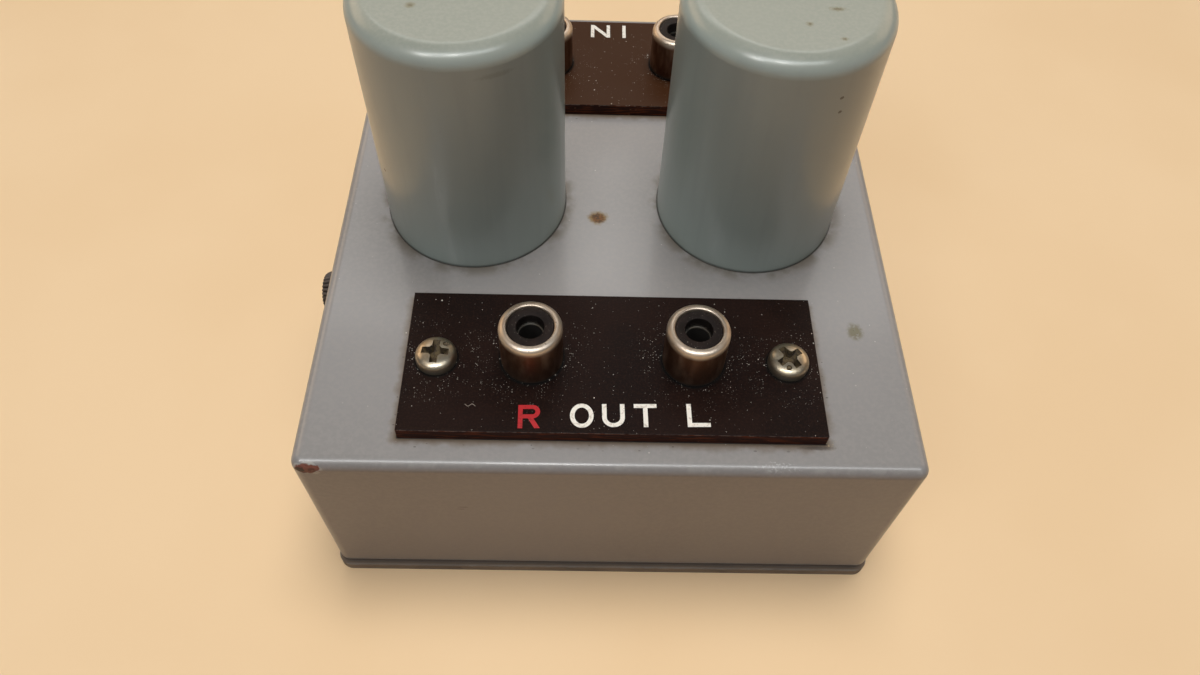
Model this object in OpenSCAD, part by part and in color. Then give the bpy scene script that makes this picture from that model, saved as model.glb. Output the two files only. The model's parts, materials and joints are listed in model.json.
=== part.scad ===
// Moving coil step-up transformer: two round transformer cans on a folded steel case, with an output
// jack plate in front of the cans, an input jack plate behind them and an earth terminal on the left wall.
// Millimetres, +X right and +Y back as seen from the output side, +Z up.
// The origin is the middle of the underside of the bottom cover.

/* [Case] */
// Width of the case, along the row of cans
case_w = 82; // [80:0.5:96]
// Depth of the case, from the output side to the input side
case_d = 91.6; // [90:0.2:110]
// Height of the case without its bottom cover
case_h = 33.4; // [32:0.2:45]
// Sheet thickness of the case
case_wall = 1.2; // [0.8:0.1:1.5]
// Outside bend radius of the edges of the case
case_bend = 1.6; // [1.2:0.1:2.4]
// Width of the flange turned in at the bottom of the case
flange_w = 9; // [8:0.5:12]

/* [Bottom cover] */
// Thickness of the bottom cover
cover_t = 1.6; // [1.5:0.1:2.4]
// How far the cover stands out past the case
cover_lip = 0.45; // [0:0.05:1.5]
// Corner radius of the cover
cover_corner = 2.2; // [1:0.1:5]

/* [Transformer cans] */
// Outside diameter of a can
can_d = 26.8; // [26.4:0.2:32]
// Height of a can above the case
can_h = 37.6; // [36:0.2:46]
// Sheet thickness of a can
can_wall = 0.8; // [0.5:0.1:1]
// Outside radius of the edge of a can's top
can_round = 2.4; // [1.2:0.1:4]
// Distance between the axes of the two cans
can_spacing = 41; // [36:0.5:46]
// Thickness of the disc that closes a can
base_t = 2; // [1.5:0.1:3]

/* [Can fixing bush] */
// Thread diameter of the hollow fixing bush
bush_d = 10; // [9:0.5:11]
// Bore of the bush, which the leads pass
bush_bore = 6.4; // [6:0.2:7]
// Diameter of the flange of the bush inside the can
bush_flange_d = 13.6; // [12:0.2:14]
// Thickness of that flange
bush_flange_t = 1.5; // [1:0.1:1.8]
// Width of the bush nut across its flats
bush_nut_af = 14; // [13:0.5:17]
// Thickness of the bush nut
bush_nut_t = 3; // [2:0.2:4]
// Diameter of the bush lock washer
bush_washer_d = 15.5; // [14:0.5:18]
// Thickness of the bush lock washer
bush_washer_t = 0.8; // [0.6:0.1:1.2]

/* [Core and windings] */
// Width of an outer leg of the core, half of the middle leg
core_leg = 3.5; // [3:0.1:3.6]
// Thickness of the stack of laminations
core_stack = 7; // [5:0.2:7.6]
// Height of the windows of the core
core_window = 18; // [12:0.5:19]
// Room under the core, in which the leads come together
core_lift = 4.6; // [4:0.1:6]
// Thickness of the strap over the core
strap_t = 0.6; // [0.4:0.1:0.8]
// Width of the strap
strap_w = 6; // [4.5:0.5:7]
// Wall of the bobbin's tube
bobbin_wall = 0.6; // [0.4:0.1:0.8]
// Thickness of the bobbin's flanges
bobbin_flange = 0.8; // [0.5:0.1:1.2]
// Thickness of the primary winding
primary_t = 0.8; // [0.5:0.1:0.9]
// Thickness of the secondary winding
secondary_t = 1.3; // [0.8:0.1:1.4]

/* [Jack plates] */
// Width of a jack plate
plate_w = 55.4; // [54:0.2:66]
// Depth of a jack plate
plate_d = 21.9; // [18:0.1:24]
// Thickness of a jack plate
plate_t = 2; // [1.5:0.1:3]
// Distance from the edge of the case to the plate
plate_margin = 4.15; // [2.5:0.05:5]
// Distance of the plate screws from the ends of the plate
screw_inset = 4.2; // [3.5:0.1:5]

/* [Phono jacks] */
// Distance between the two jacks of a plate
jack_spacing = 21.6; // [19:0.2:24]
// Distance of the jacks from the middle of the plate, towards the cans
jack_shift = 0.4; // [0:0.1:1.5]
// Outside diameter of the jack's shell
jack_d = 8.3; // [8.1:0.05:8.6]
// Height of the jack above its plate
jack_h = 7.5; // [6.5:0.1:9]
// Sheet thickness of the shell
jack_wall = 0.5; // [0.4:0.05:0.6]
// Outside radius of the rolled rim
jack_rim = 0.7; // [0.4:0.05:0.75]
// Diameter of the mouth in the rolled rim
jack_mouth = 6.3; // [5.6:0.1:6.6]
// Diameter of the neck that passes the plate
jack_neck = 7.2; // [6.6:0.1:7.4]
// Bore of the centre contact, for a plug's pin
plug_pin = 3.2; // [3.1:0.05:3.4]
// Wall of the centre contact
contact_wall = 0.35; // [0.25:0.05:0.45]
// Depth from the rim to the end of the contact's bore
plug_depth = 9.3; // [8:0.1:9.4]
// Thickness of the earth tag under the plate
tag_t = 0.4; // [0.3:0.05:0.6]

/* [Earth terminal] */
// Distance of the terminal from the middle of the wall, towards the output side
terminal_shift = 5.2; // [-6:0.2:8]
// Height of the terminal above the underside
terminal_z = 17.5; // [14:0.5:22]
// Diameter of the terminal's thread
stud_d = 3; // [2.5:0.1:3.5]
// Diameter over the knurls of the cap
cap_d = 7.4; // [7:0.1:9]
// Length of the cap
cap_l = 4.3; // [4:0.1:8]
// Number of knurls round the cap
cap_knurls = 28; // [20:1:36]
// Thickness of the collar of the stud
collar_t = 0.8; // [0.5:0.1:1.5]
// Thickness of the clamp washer
clamp_t = 0.6; // [0.4:0.1:1]

/* [Fasteners] */
// Thread diameter of the plate screws and cover screws
screw_d = 3; // [2.6:0.1:3]
// Diameter of a plate screw's head
head_d = 5.5; // [5:0.1:6]
// Height of a plate screw's head
head_h = 2; // [1.6:0.1:2.4]
// Diameter of a cover screw's countersunk head
csk_d = 5.6; // [5.2:0.1:6]
// Width of the small nuts across their flats
nut_af = 5.5; // [5.2:0.1:6]
// Thickness of the small nuts
nut_t = 2.4; // [1.8:0.1:2.6]
// Thickness of the small lock washers
washer_t = 0.7; // [0.5:0.1:0.8]
// Length of a screw or bush that shows past its nut
thread_end = 1.2; // [0.6:0.1:2]

/* [Wiring] */
// Diameter of the insulated leads
lead_d = 1; // [0.8:0.1:1.2]

/* [Hidden] */
$fn = 96;
// Radial play of a screw in its hole, and of a press-in or threaded fit
hole_play = 0.15;
snug = 0.05;
// Play between laid-in pieces
lay = 0.1;
// How far a cut runs past the face it opens
past = 1;

// Levels of the case
top_z = cover_t + case_h;
ceiling_z = top_z - case_wall;
plate_z = top_z + plate_t;
flange_z = cover_t + case_wall;
// Corner radii inside the case and of the opening in its flange
case_inner_r = 0.6;
flange_corner = 3;

// Places on the case, each for the quarter with positive x and y
can_x = can_spacing / 2;
plate_y = case_d / 2 - plate_margin - plate_d / 2;
jack_x = jack_spacing / 2;
jack_y = plate_y - jack_shift;
plate_screw_x = plate_w / 2 - screw_inset;
cover_screw_x = case_w / 2 - case_wall - flange_w / 2;
cover_screw_y = case_d / 2 - case_wall - flange_w / 2;
hole_r = screw_d / 2 + hole_play;
csk_h = (csk_d - screw_d) / 2;
// Cross recesses and the crown of the pan heads
cross_w = 0.8;
plate_cross_l = 3;
plate_cross_h = 1.3;
cover_cross_l = 2.6;
cover_cross_h = 1;
head_crown = 0.8;
sides = [-1, 1];

// Can, base disc and fixing bush
least_round = 0.3;
can_in_r = can_d / 2 - can_wall;
can_inner_round = max(can_round - can_wall, least_round);
bush_low_z = ceiling_z - bush_washer_t - bush_nut_t - thread_end;
base_top_z = top_z + base_t;
bush_top_z = base_top_z + bush_flange_t;
rib_gap = 0.3;
rib_inset = 0.2;

// Core, strap and packing
core_w = 6 * core_leg;
core_h = core_window + 2 * core_leg;
core_z = base_top_z + core_lift;
core_top_z = core_z + core_h;
strap_x = core_w / 2 + snug;
strap_top_z = core_top_z + snug + strap_t;
strap_shoulder = 1;
strap_tab_w = strap_w - 2 * strap_shoulder;
can_roof_z = top_z + can_h - can_wall;
window_z = core_z + core_leg;

// Bobbin and windings, as half widths along x and y
bobbin_x = core_leg + lay;
bobbin_y = core_stack / 2 + lay;
bobbin_low_z = window_z + lay;
bobbin_h = core_window - 2 * lay;
bobbin_edge = bobbin_wall + primary_t + secondary_t + 3 * lay;

// Phono jack levels and radii
rim_z = plate_z + jack_h;
lip_t = 0.75;
nose_drop = 0.35;
nose_z = rim_z - nose_drop;
neck_wall = 0.45;
flare_t = 0.5;
flare_z = top_z - tag_t - flare_t;
flare_w = 1;
flare_r = jack_neck / 2 + flare_w;
stem_r = jack_neck / 2 - neck_wall - snug;
stem_out = 1;
stem_z = flare_z - stem_out;
contact_r = plug_pin / 2 + contact_wall;
lead_in = 1.7;
contact_top_z = nose_z - lead_in;
contact_floor_z = rim_z - plug_depth;
contact_collar_w = 0.6;
contact_collar_r = contact_r + contact_collar_w;
contact_collar_t = 0.5;
contact_low_z = stem_z - contact_collar_t;
tail_w = 2;
tail_t = 0.6;
tail_l = 5;
tail_root = 0.2;
contact_stop = 0.1;
tag_edge = 0.3;
tag_r = flare_r + tag_edge;
tag_reach = 0.5;
tag_arm = tag_r + tag_reach;
tag_arm_w = 2.4;
tag_drop = 5.6;
tag_low_z = flare_z - tag_drop;
tag_room = 0.6;
jack_hole_r = tag_arm + tag_t + tag_room;

// Earth terminal, measured outwards from the wall
clamp_w = collar_t + snug;
cap_w = clamp_w + clamp_t + snug;
cap_end = 0.8;
cap_tooth = 0.25;
cap_bevel = 0.5;
collar_inset = 0.3;
cap_bore_w = cap_w + cap_l - cap_end;
stud_end_gap = 0.2;
stud_out_w = cap_bore_w - stud_end_gap;
lug_t = 0.5;
lug_edge = 1.6;
lug_r = stud_d / 2 + lug_edge;
lug_tail = 7;
lug_tail_w = 3.2;
lug_solder = 1;
stud_in_w = case_wall + lug_t + washer_t + nut_t + thread_end;

// Points of the leads in the quarter with positive x and y, chosen for easy bends
lead_r = lead_d / 2;
lead_sides = 8;
lead_start_z = bobbin_low_z;
lead_inset = 1.4;
lead_start_y = bobbin_y + bobbin_edge - lead_inset;
lead_gap = 1.2;
lead_drop = 2.5;
low_z = bush_low_z - lead_drop;
tail_solder = 3;
tail_mid_z = contact_low_z - tail_solder;
tag_solder = 2.6;
tag_mid_z = tag_low_z + tag_solder;
tag_face_x = jack_x + tag_arm + tag_t;

function into_bush(step) = [
    [can_x + step * 2.4, lead_start_y, lead_start_z],
    [can_x + step * 2.4, lead_start_y, lead_start_z - 2],
    [can_x + step * 2.3, lead_start_y - 0.3, core_z],
    [can_x + step * 1.6, 2.8, core_z - 2.2],
    [can_x + step * lead_gap, lead_gap, bush_top_z - 1],
    [can_x + step * lead_gap, lead_gap, top_z],
    [can_x + step * lead_gap, lead_gap, bush_low_z]
];

hot_route = concat(into_bush(-1), [
    [can_x - 2, 3, low_z - 1],
    [can_x - 5, 9, low_z - 2],
    [can_x - 8, 16, low_z - 1.5],
    [jack_x, jack_y - 7, tail_mid_z - 1],
    [jack_x, jack_y - 3, tail_mid_z],
    [jack_x, jack_y - tail_t / 2, tail_mid_z]
]);

tag_route = concat(into_bush(1), [
    [can_x + 1.4, 3, low_z - 1],
    [can_x + 1, 9, low_z - 2],
    [can_x, 16, low_z - 1],
    [can_x - 0.8, jack_y - 7, tag_mid_z - 2.5],
    [tag_face_x + 2.4, jack_y - 2.4, tag_mid_z - 0.3],
    [tag_face_x + 1.8, jack_y, tag_mid_z],
    [tag_face_x, jack_y, tag_mid_z]
]);

// Earth lead from the terminal's lug to the nearest input tag, and the link between the two input tags
lug_x = -case_w / 2 + case_wall + lug_t;
earth_route = [
    [lug_x, -terminal_shift + lug_tail - lug_solder, terminal_z],
    [lug_x + 2.5, -terminal_shift + lug_tail - lug_solder, terminal_z],
    [lug_x + 5, 5, terminal_z + 1],
    [-can_x - 12, 12, terminal_z + 4],
    [-can_x - 8, 19, tag_mid_z - 5],
    [-can_x - 3.5, jack_y - 5, tag_mid_z - 1],
    [-tag_face_x - 2.6, jack_y - 1.4, tag_mid_z + 1.6],
    [-tag_face_x - 1.4, jack_y, tag_mid_z + 1.8],
    [-tag_face_x, jack_y, tag_mid_z + 1.8]
];

link_half = [
    [tag_face_x, jack_y, tag_mid_z - 1.8],
    [tag_face_x + 1.4, jack_y, tag_mid_z - 1.8],
    [tag_face_x + 2.2, jack_y + 1.6, tag_mid_z - 3],
    [tag_face_x - 1, jack_y + 3.6, tag_mid_z - 5],
    [tag_face_x - 8, jack_y + 4, tag_mid_z - 6]
];
link_route = concat(
    link_half,
    [[0, jack_y + 4, tag_mid_z - 6.4]],
    [for (i = [len(link_half) - 1 : -1 : 0]) [-link_half[i].x, link_half[i].y, link_half[i].z]]
);

// Places

// Turns a shape made for the quarter with positive x and y to the quarter with the given signs
module quarter(sx, sy) {
    mirror([sx < 0 ? 1 : 0, 0, 0])
        mirror([0, sy < 0 ? 1 : 0, 0])
            children();
}

module at_plate_screws() {
    for (sx = sides, sy = sides)
        translate([sx * plate_screw_x, sy * plate_y, 0])
            children();
}

module at_cover_screws() {
    for (sx = sides, sy = sides)
        translate([sx * cover_screw_x, sy * cover_screw_y, 0])
            children();
}

module at_cans() {
    for (sx = sides)
        translate([sx * can_x, 0, 0])
            children();
}

// Stands a shape on the left wall, with its +Z pointing out of the case
module at_terminal() {
    translate([-case_w / 2, -terminal_shift, terminal_z])
        rotate([0, -90, 0])
            children();
}

// Shapes that repeat

module rounded_rect(w, d, r) {
    square([w - 2 * r, d], center = true);
    square([w, d - 2 * r], center = true);
    for (sx = sides, sy = sides)
        translate([sx * (w / 2 - r), sy * (d / 2 - r)])
            circle(r);
}

// A block with all its edges rounded, standing on z = 0
module rounded_block(w, d, h, r) {
    translate([0, 0, r])
        linear_extrude(h - 2 * r)
            rounded_rect(w, d, r);
    linear_extrude(h)
        square([w - 2 * r, d - 2 * r], center = true);
    for (z = [r, h - r]) {
        for (sy = sides)
            translate([0, sy * (d / 2 - r), z])
                rotate([0, 90, 0])
                    cylinder(r = r, h = w - 2 * r, center = true);
        for (sx = sides)
            translate([sx * (w / 2 - r), 0, z])
                rotate([90, 0, 0])
                    cylinder(r = r, h = d - 2 * r, center = true);
        for (sx = sides, sy = sides)
            translate([sx * (w / 2 - r), sy * (d / 2 - r), z])
                sphere(r);
    }
}

module ring(outer_r, inner_r, h) {
    difference() {
        cylinder(r = outer_r, h = h);
        translate([0, 0, -past])
            cylinder(r = inner_r, h = h + 2 * past);
    }
}

module hex_nut(af, h, bore_r) {
    difference() {
        cylinder(r = af / 2 / cos(30), h = h, $fn = 6);
        translate([0, 0, -past])
            cylinder(r = bore_r, h = h + 2 * past);
    }
}

// A rectangular ring of winding round the bobbin, between two distances from the bobbin's tube
module wound_ring(inner, outer) {
    difference() {
        rounded_rect(2 * (bobbin_x + outer), 2 * (bobbin_y + outer), outer);
        rounded_rect(2 * (bobbin_x + inner), 2 * (bobbin_y + inner), inner);
    }
}

// A round tube along a route: a smooth curve through the points, square to its ends

function unit(v) = v / norm(v);
function curve_point(a, b, c, d, t) =
    0.5 * (2 * b + (c - a) * t + (2 * a - 5 * b + 4 * c - d) * t * t + (3 * b - a - 3 * c + d) * t * t * t);
function curve_slope(a, b, c, d, t) =
    0.5 * ((c - a) + 2 * (2 * a - 5 * b + 4 * c - d) * t + 3 * (3 * b - a - 3 * c + d) * t * t);
function with_ends(p) =
    let (last = len(p) - 1)
    concat([2 * p[0] - p[1]], p, [2 * p[last] - p[last - 1]]);
function across(v, along) = unit(v - (v * along) * along);

module tube(route, r, steps) {
    p = with_ends(route);
    spans = len(route) - 1;
    at = [for (i = [0 : spans - 1], k = [0 : steps - 1]) [i, k / steps]];
    stops = concat(at, [[spans - 1, 1]]);
    mids = [for (s = stops) curve_point(p[s[0]], p[s[0] + 1], p[s[0] + 2], p[s[0] + 3], s[1])];
    ways = [for (s = stops) unit(curve_slope(p[s[0]], p[s[0] + 1], p[s[0] + 2], p[s[0] + 3], s[1]))];
    first = across(abs(ways[0].z) < 0.9 ? [0, 0, 1] : [1, 0, 0], ways[0]);
    norms = [for (i = 0, n = first; i < len(ways); i = i + 1, n = across(n, ways[min(i, len(ways) - 1)])) n];
    rings = [for (i = [0 : len(mids) - 1], k = [0 : lead_sides - 1])
        let (turn = 360 * (k + 0.5) / lead_sides, side = cross(ways[i], norms[i]))
        mids[i] + r * (cos(turn) * norms[i] + sin(turn) * side)];
    last = (len(mids) - 1) * lead_sides;
    skin = [for (i = [0 : len(mids) - 2], k = [0 : lead_sides - 1], half = [0, 1])
        let (a = i * lead_sides + k, b = i * lead_sides + (k + 1) % lead_sides)
        half == 0 ? [a, b + lead_sides, b] : [a, a + lead_sides, b + lead_sides]];
    low_cap = [for (k = [1 : lead_sides - 2]) [0, k, k + 1]];
    high_cap = [for (k = [1 : lead_sides - 2]) [last, last + k + 1, last + k]];
    polyhedron(rings, concat(skin, low_cap, high_cap));
}

// Case and bottom cover

module case() {
    color("#92918e")
    difference() {
        translate([0, 0, cover_t])
            rounded_block(case_w, case_d, case_h, case_bend);
        translate([0, 0, flange_z])
            linear_extrude(ceiling_z - flange_z)
                rounded_rect(case_w - 2 * case_wall, case_d - 2 * case_wall, case_inner_r);
        translate([0, 0, cover_t - past])
            linear_extrude(case_wall + 2 * past)
                rounded_rect(
                    case_w - 2 * (case_wall + flange_w),
                    case_d - 2 * (case_wall + flange_w),
                    flange_corner
                );
        translate([0, 0, ceiling_z - past]) {
            for (sx = sides, sy = sides)
                translate([sx * jack_x, sy * jack_y, 0])
                    cylinder(r = jack_hole_r, h = case_wall + 2 * past);
            at_plate_screws()
                cylinder(r = hole_r, h = case_wall + 2 * past);
            at_cans()
                cylinder(r = bush_d / 2 + hole_play, h = case_wall + 2 * past);
        }
        translate([0, 0, cover_t - past])
            at_cover_screws()
                cylinder(r = hole_r, h = case_wall + 2 * past);
        at_terminal()
            translate([0, 0, -case_wall - past])
                cylinder(r = stud_d / 2 + hole_play, h = case_wall + 2 * past);
    }
}

module bottom_cover() {
    color("#5b5752")
    difference() {
        linear_extrude(cover_t)
            rounded_rect(case_w + 2 * cover_lip, case_d + 2 * cover_lip, cover_corner);
        at_cover_screws() {
            translate([0, 0, -past])
                cylinder(r = hole_r, h = cover_t + 2 * past);
            cylinder(r1 = csk_d / 2 + hole_play, r2 = screw_d / 2 + hole_play, h = csk_h);
            translate([0, 0, -past])
                cylinder(r = csk_d / 2 + hole_play, h = past);
        }
    }
}

module cover_screws() {
    color("#a9a49b")
    at_cover_screws()
        difference() {
            union() {
                translate([0, 0, lay])
                    cylinder(r1 = csk_d / 2, r2 = screw_d / 2, h = csk_h);
                translate([0, 0, lay])
                    cylinder(r = screw_d / 2, h = flange_z + nut_t + thread_end - lay);
            }
            for (turn = [0, 90])
                rotate([0, 0, turn])
                    translate([-cover_cross_l / 2, -cross_w / 2, -past])
                        cube([cover_cross_l, cross_w, cover_cross_h + past]);
        }
}

module cover_nuts() {
    color("#a9a49b")
    at_cover_screws()
        translate([0, 0, flange_z])
            hex_nut(nut_af, nut_t, screw_d / 2 + snug);
}

// Transformers

module can(sx) {
    color("#79827a")
    translate([sx * can_x, 0, top_z])
        rotate_extrude()
            difference() {
                can_outline(can_d / 2, can_h, can_round);
                translate([0, -past])
                    can_outline(can_in_r, can_h - can_wall + past, can_inner_round);
            }
}

module can_outline(r, h, corner) {
    square([r, h - corner]);
    square([r - corner, h]);
    translate([r - corner, h - corner])
        intersection() {
            circle(corner);
            square(corner);
        }
}

module can_base(sx) {
    rib_x = bush_flange_d / 2 + rib_gap;
    rib_w = core_w / 2 - rib_x;
    color("#3a2a20")
    translate([sx * can_x, 0, top_z])
        difference() {
            union() {
                cylinder(r = can_in_r - snug, h = base_t);
                for (s = sides)
                    translate([s * (rib_x + rib_w / 2), 0, base_t + core_lift / 2])
                        cube([rib_w, core_stack - 2 * rib_inset, core_lift], center = true);
            }
            translate([0, 0, -past])
                cylinder(r = bush_d / 2 + snug, h = base_t + 2 * past);
            for (s = sides)
                translate([s * (strap_x + strap_t / 2), 0, base_t / 2])
                    cube([strap_t + 2 * snug, strap_tab_w + 2 * snug, base_t + past], center = true);
        }
}

module bush(sx) {
    color("#b7a56a")
    translate([sx * can_x, 0, 0])
        difference() {
            union() {
                translate([0, 0, base_top_z])
                    cylinder(r = bush_flange_d / 2, h = bush_flange_t);
                translate([0, 0, bush_low_z])
                    cylinder(r = bush_d / 2, h = bush_top_z - bush_low_z);
            }
            translate([0, 0, bush_low_z - past])
                cylinder(r = bush_bore / 2, h = bush_top_z - bush_low_z + 2 * past);
        }
}

module bush_washers() {
    color("#9c978c")
    at_cans()
        translate([0, 0, ceiling_z - bush_washer_t])
            ring(bush_washer_d / 2, bush_d / 2 + hole_play, bush_washer_t);
}

module bush_nuts() {
    color("#b7a56a")
    at_cans()
        translate([0, 0, ceiling_z - bush_washer_t - bush_nut_t])
            hex_nut(bush_nut_af, bush_nut_t, bush_d / 2 + snug);
}

module core(sx) {
    color("#55524e")
    translate([sx * can_x, core_stack / 2, core_z])
        rotate([90, 0, 0])
            linear_extrude(core_stack)
                difference() {
                    translate([-core_w / 2, 0])
                        square([core_w, core_h]);
                    for (s = sides)
                        translate([s * 1.5 * core_leg - core_leg / 2, core_leg])
                            square([core_leg, core_window]);
                }
}

module core_strap(sx) {
    leg_h = strap_top_z - base_top_z;
    color("#a8a297")
    translate([sx * can_x, 0, 0]) {
        translate([0, 0, strap_top_z - strap_t / 2])
            cube([2 * (strap_x + strap_t), strap_w, strap_t], center = true);
        for (s = sides)
            translate([s * (strap_x + strap_t / 2), 0, 0]) {
                translate([0, 0, base_top_z + leg_h / 2])
                    cube([strap_t, strap_w, leg_h], center = true);
                translate([0, 0, base_top_z - base_t / 2])
                    cube([strap_t, strap_tab_w, base_t], center = true);
            }
    }
}

module bobbin(sx) {
    edge_x = min(bobbin_x + bobbin_edge, 2 * core_leg - lay);
    edge_y = bobbin_y + bobbin_edge;
    color("#d9d3c0")
    translate([sx * can_x, 0, bobbin_low_z])
        difference() {
            union() {
                for (z = [0, bobbin_h - bobbin_flange])
                    translate([-edge_x, -edge_y, z])
                        cube([2 * edge_x, 2 * edge_y, bobbin_flange]);
                linear_extrude(bobbin_h)
                    rounded_rect(2 * (bobbin_x + bobbin_wall), 2 * (bobbin_y + bobbin_wall), bobbin_wall);
            }
            translate([0, 0, -past])
                linear_extrude(bobbin_h + 2 * past)
                    square(2 * [bobbin_x, bobbin_y], center = true);
        }
}

module winding(sx, inner, outer) {
    translate([sx * can_x, 0, bobbin_low_z + bobbin_flange + lay])
        linear_extrude(bobbin_h - 2 * (bobbin_flange + lay))
            wound_ring(inner, outer);
}

module primary_winding(sx) {
    color("#b4672f")
    winding(sx, bobbin_wall + lay, bobbin_wall + lay + primary_t);
}

module secondary_winding(sx) {
    color("#8c3f22")
    winding(sx, bobbin_wall + primary_t + 2 * lay, bobbin_wall + primary_t + 2 * lay + secondary_t);
}

module packing_pad(sx) {
    color("#7d7468")
    translate([sx * can_x, 0, strap_top_z + snug])
        cylinder(r = can_in_r - can_round, h = can_roof_z - strap_top_z - 2 * snug);
}

// Jack plates and their screws

module jack_plate(sy) {
    color("#2a1d18")
    difference() {
        translate([-plate_w / 2, sy * plate_y - plate_d / 2, top_z])
            cube([plate_w, plate_d, plate_t]);
        for (sx = sides) {
            translate([sx * jack_x, sy * jack_y, top_z - past])
                cylinder(r = jack_neck / 2 + snug, h = plate_t + 2 * past);
            translate([sx * plate_screw_x, sy * plate_y, top_z - past])
                cylinder(r = hole_r, h = plate_t + 2 * past);
        }
    }
}

module plate_screws() {
    under = plate_t + case_wall + washer_t + nut_t + thread_end;
    crown_r = (head_d * head_d / 4 + head_crown * head_crown) / (2 * head_crown);
    color("#b9b09a")
    at_plate_screws()
        translate([0, 0, plate_z])
            difference() {
                union() {
                    intersection() {
                        cylinder(r = head_d / 2, h = head_h);
                        translate([0, 0, head_h - crown_r])
                            sphere(crown_r);
                    }
                    translate([0, 0, -under])
                        cylinder(r = screw_d / 2, h = under);
                }
                for (turn = [0, 90])
                    rotate([0, 0, turn])
                        translate([-plate_cross_l / 2, -cross_w / 2, head_h - plate_cross_h])
                            cube([plate_cross_l, cross_w, plate_cross_h + past]);
            }
}

module plate_washers() {
    color("#9c978c")
    at_plate_screws()
        translate([0, 0, ceiling_z - washer_t])
            ring(nut_af / 2, hole_r, washer_t);
}

module plate_nuts() {
    color("#b9b09a")
    at_plate_screws()
        translate([0, 0, ceiling_z - washer_t - nut_t])
            hex_nut(nut_af, nut_t, screw_d / 2 + snug);
}

// Phono jacks

module at_jack(sx, sy) {
    translate([sx * jack_x, sy * jack_y, 0])
        children();
}

module jack_shell(sx, sy) {
    r = jack_d / 2;
    color("#a39a8c")
    at_jack(sx, sy)
        rotate_extrude()
            difference() {
                union() {
                    translate([0, plate_z])
                        can_outline(r, jack_h, jack_rim);
                    translate([0, flare_z])
                        square([jack_neck / 2, plate_z - flare_z]);
                    translate([0, flare_z])
                        square([flare_r, flare_t]);
                }
                translate([0, plate_z + jack_wall])
                    square([r - jack_wall, jack_h - jack_wall - lip_t]);
                translate([0, rim_z - lip_t - past])
                    square([jack_mouth / 2, lip_t + 2 * past]);
                translate([0, flare_z - past])
                    square([jack_neck / 2 - neck_wall, plate_z - flare_z + 2 * past]);
            }
}

module jack_insulator(sx, sy) {
    body_z = plate_z + jack_wall + snug;
    body_r = jack_d / 2 - jack_wall - snug;
    color("#1d1b1a")
    at_jack(sx, sy)
        rotate_extrude()
            difference() {
                union() {
                    translate([0, body_z])
                        square([body_r, rim_z - lip_t - snug - body_z]);
                    translate([0, body_z])
                        square([jack_mouth / 2 - snug, nose_z - body_z]);
                    translate([0, stem_z])
                        square([stem_r, body_z - stem_z + past]);
                }
                translate([0, contact_top_z - past])
                    square([contact_r - contact_stop, nose_z - contact_top_z + 2 * past]);
                translate([0, stem_z - past])
                    square([contact_r + snug, contact_top_z + snug - stem_z + past]);
            }
}

module jack_contact(sx, sy) {
    color("#c9c3b4")
    at_jack(sx, sy)
        difference() {
            union() {
                translate([0, 0, contact_low_z])
                    cylinder(r = contact_r, h = contact_top_z - contact_low_z);
                translate([0, 0, contact_low_z])
                    cylinder(r = contact_collar_r, h = contact_collar_t);
                translate([-tail_w / 2, -tail_t / 2, contact_low_z - tail_l])
                    cube([tail_w, tail_t, tail_l + tail_root]);
            }
            translate([0, 0, contact_floor_z])
                cylinder(r = plug_pin / 2, h = contact_top_z - contact_floor_z + past);
        }
}

module jack_tag(sx, sy) {
    color("#c2bcae")
    quarter(sx, sy)
        translate([jack_x, jack_y, 0])
            difference() {
                union() {
                    translate([0, 0, top_z - tag_t])
                        cylinder(r = tag_r, h = tag_t);
                    translate([0, -tag_arm_w / 2, top_z - tag_t])
                        cube([tag_arm + tag_t, tag_arm_w, tag_t]);
                    translate([tag_arm, -tag_arm_w / 2, tag_low_z])
                        cube([tag_t, tag_arm_w, top_z - tag_low_z]);
                }
                translate([0, 0, top_z - tag_t - past])
                    cylinder(r = jack_neck / 2 + snug, h = tag_t + 2 * past);
            }
}

// Earth terminal

module terminal_stud() {
    color("#b7a56a")
    at_terminal() {
        cylinder(r = cap_d / 2 - collar_inset, h = collar_t);
        translate([0, 0, -stud_in_w])
            cylinder(r = stud_d / 2, h = stud_in_w + stud_out_w);
    }
}

module terminal_lug() {
    color("#c2bcae")
    at_terminal()
        translate([0, 0, -case_wall - lug_t])
            difference() {
                union() {
                    cylinder(r = lug_r, h = lug_t);
                    translate([-lug_tail_w / 2, 0, 0])
                        cube([lug_tail_w, lug_tail, lug_t]);
                }
                translate([0, 0, -past])
                    cylinder(r = stud_d / 2 + hole_play, h = lug_t + 2 * past);
            }
}

module terminal_lock_washer() {
    color("#9c978c")
    at_terminal()
        translate([0, 0, -case_wall - lug_t - washer_t])
            ring(nut_af / 2, stud_d / 2 + hole_play, washer_t);
}

module terminal_nut() {
    color("#b7a56a")
    at_terminal()
        translate([0, 0, -case_wall - lug_t - washer_t - nut_t])
            hex_nut(nut_af, nut_t, stud_d / 2 + snug);
}

module clamp_washer() {
    color("#b7a56a")
    at_terminal()
        translate([0, 0, clamp_w])
            ring(cap_d / 2 - collar_inset, stud_d / 2 + snug, clamp_t);
}

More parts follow.
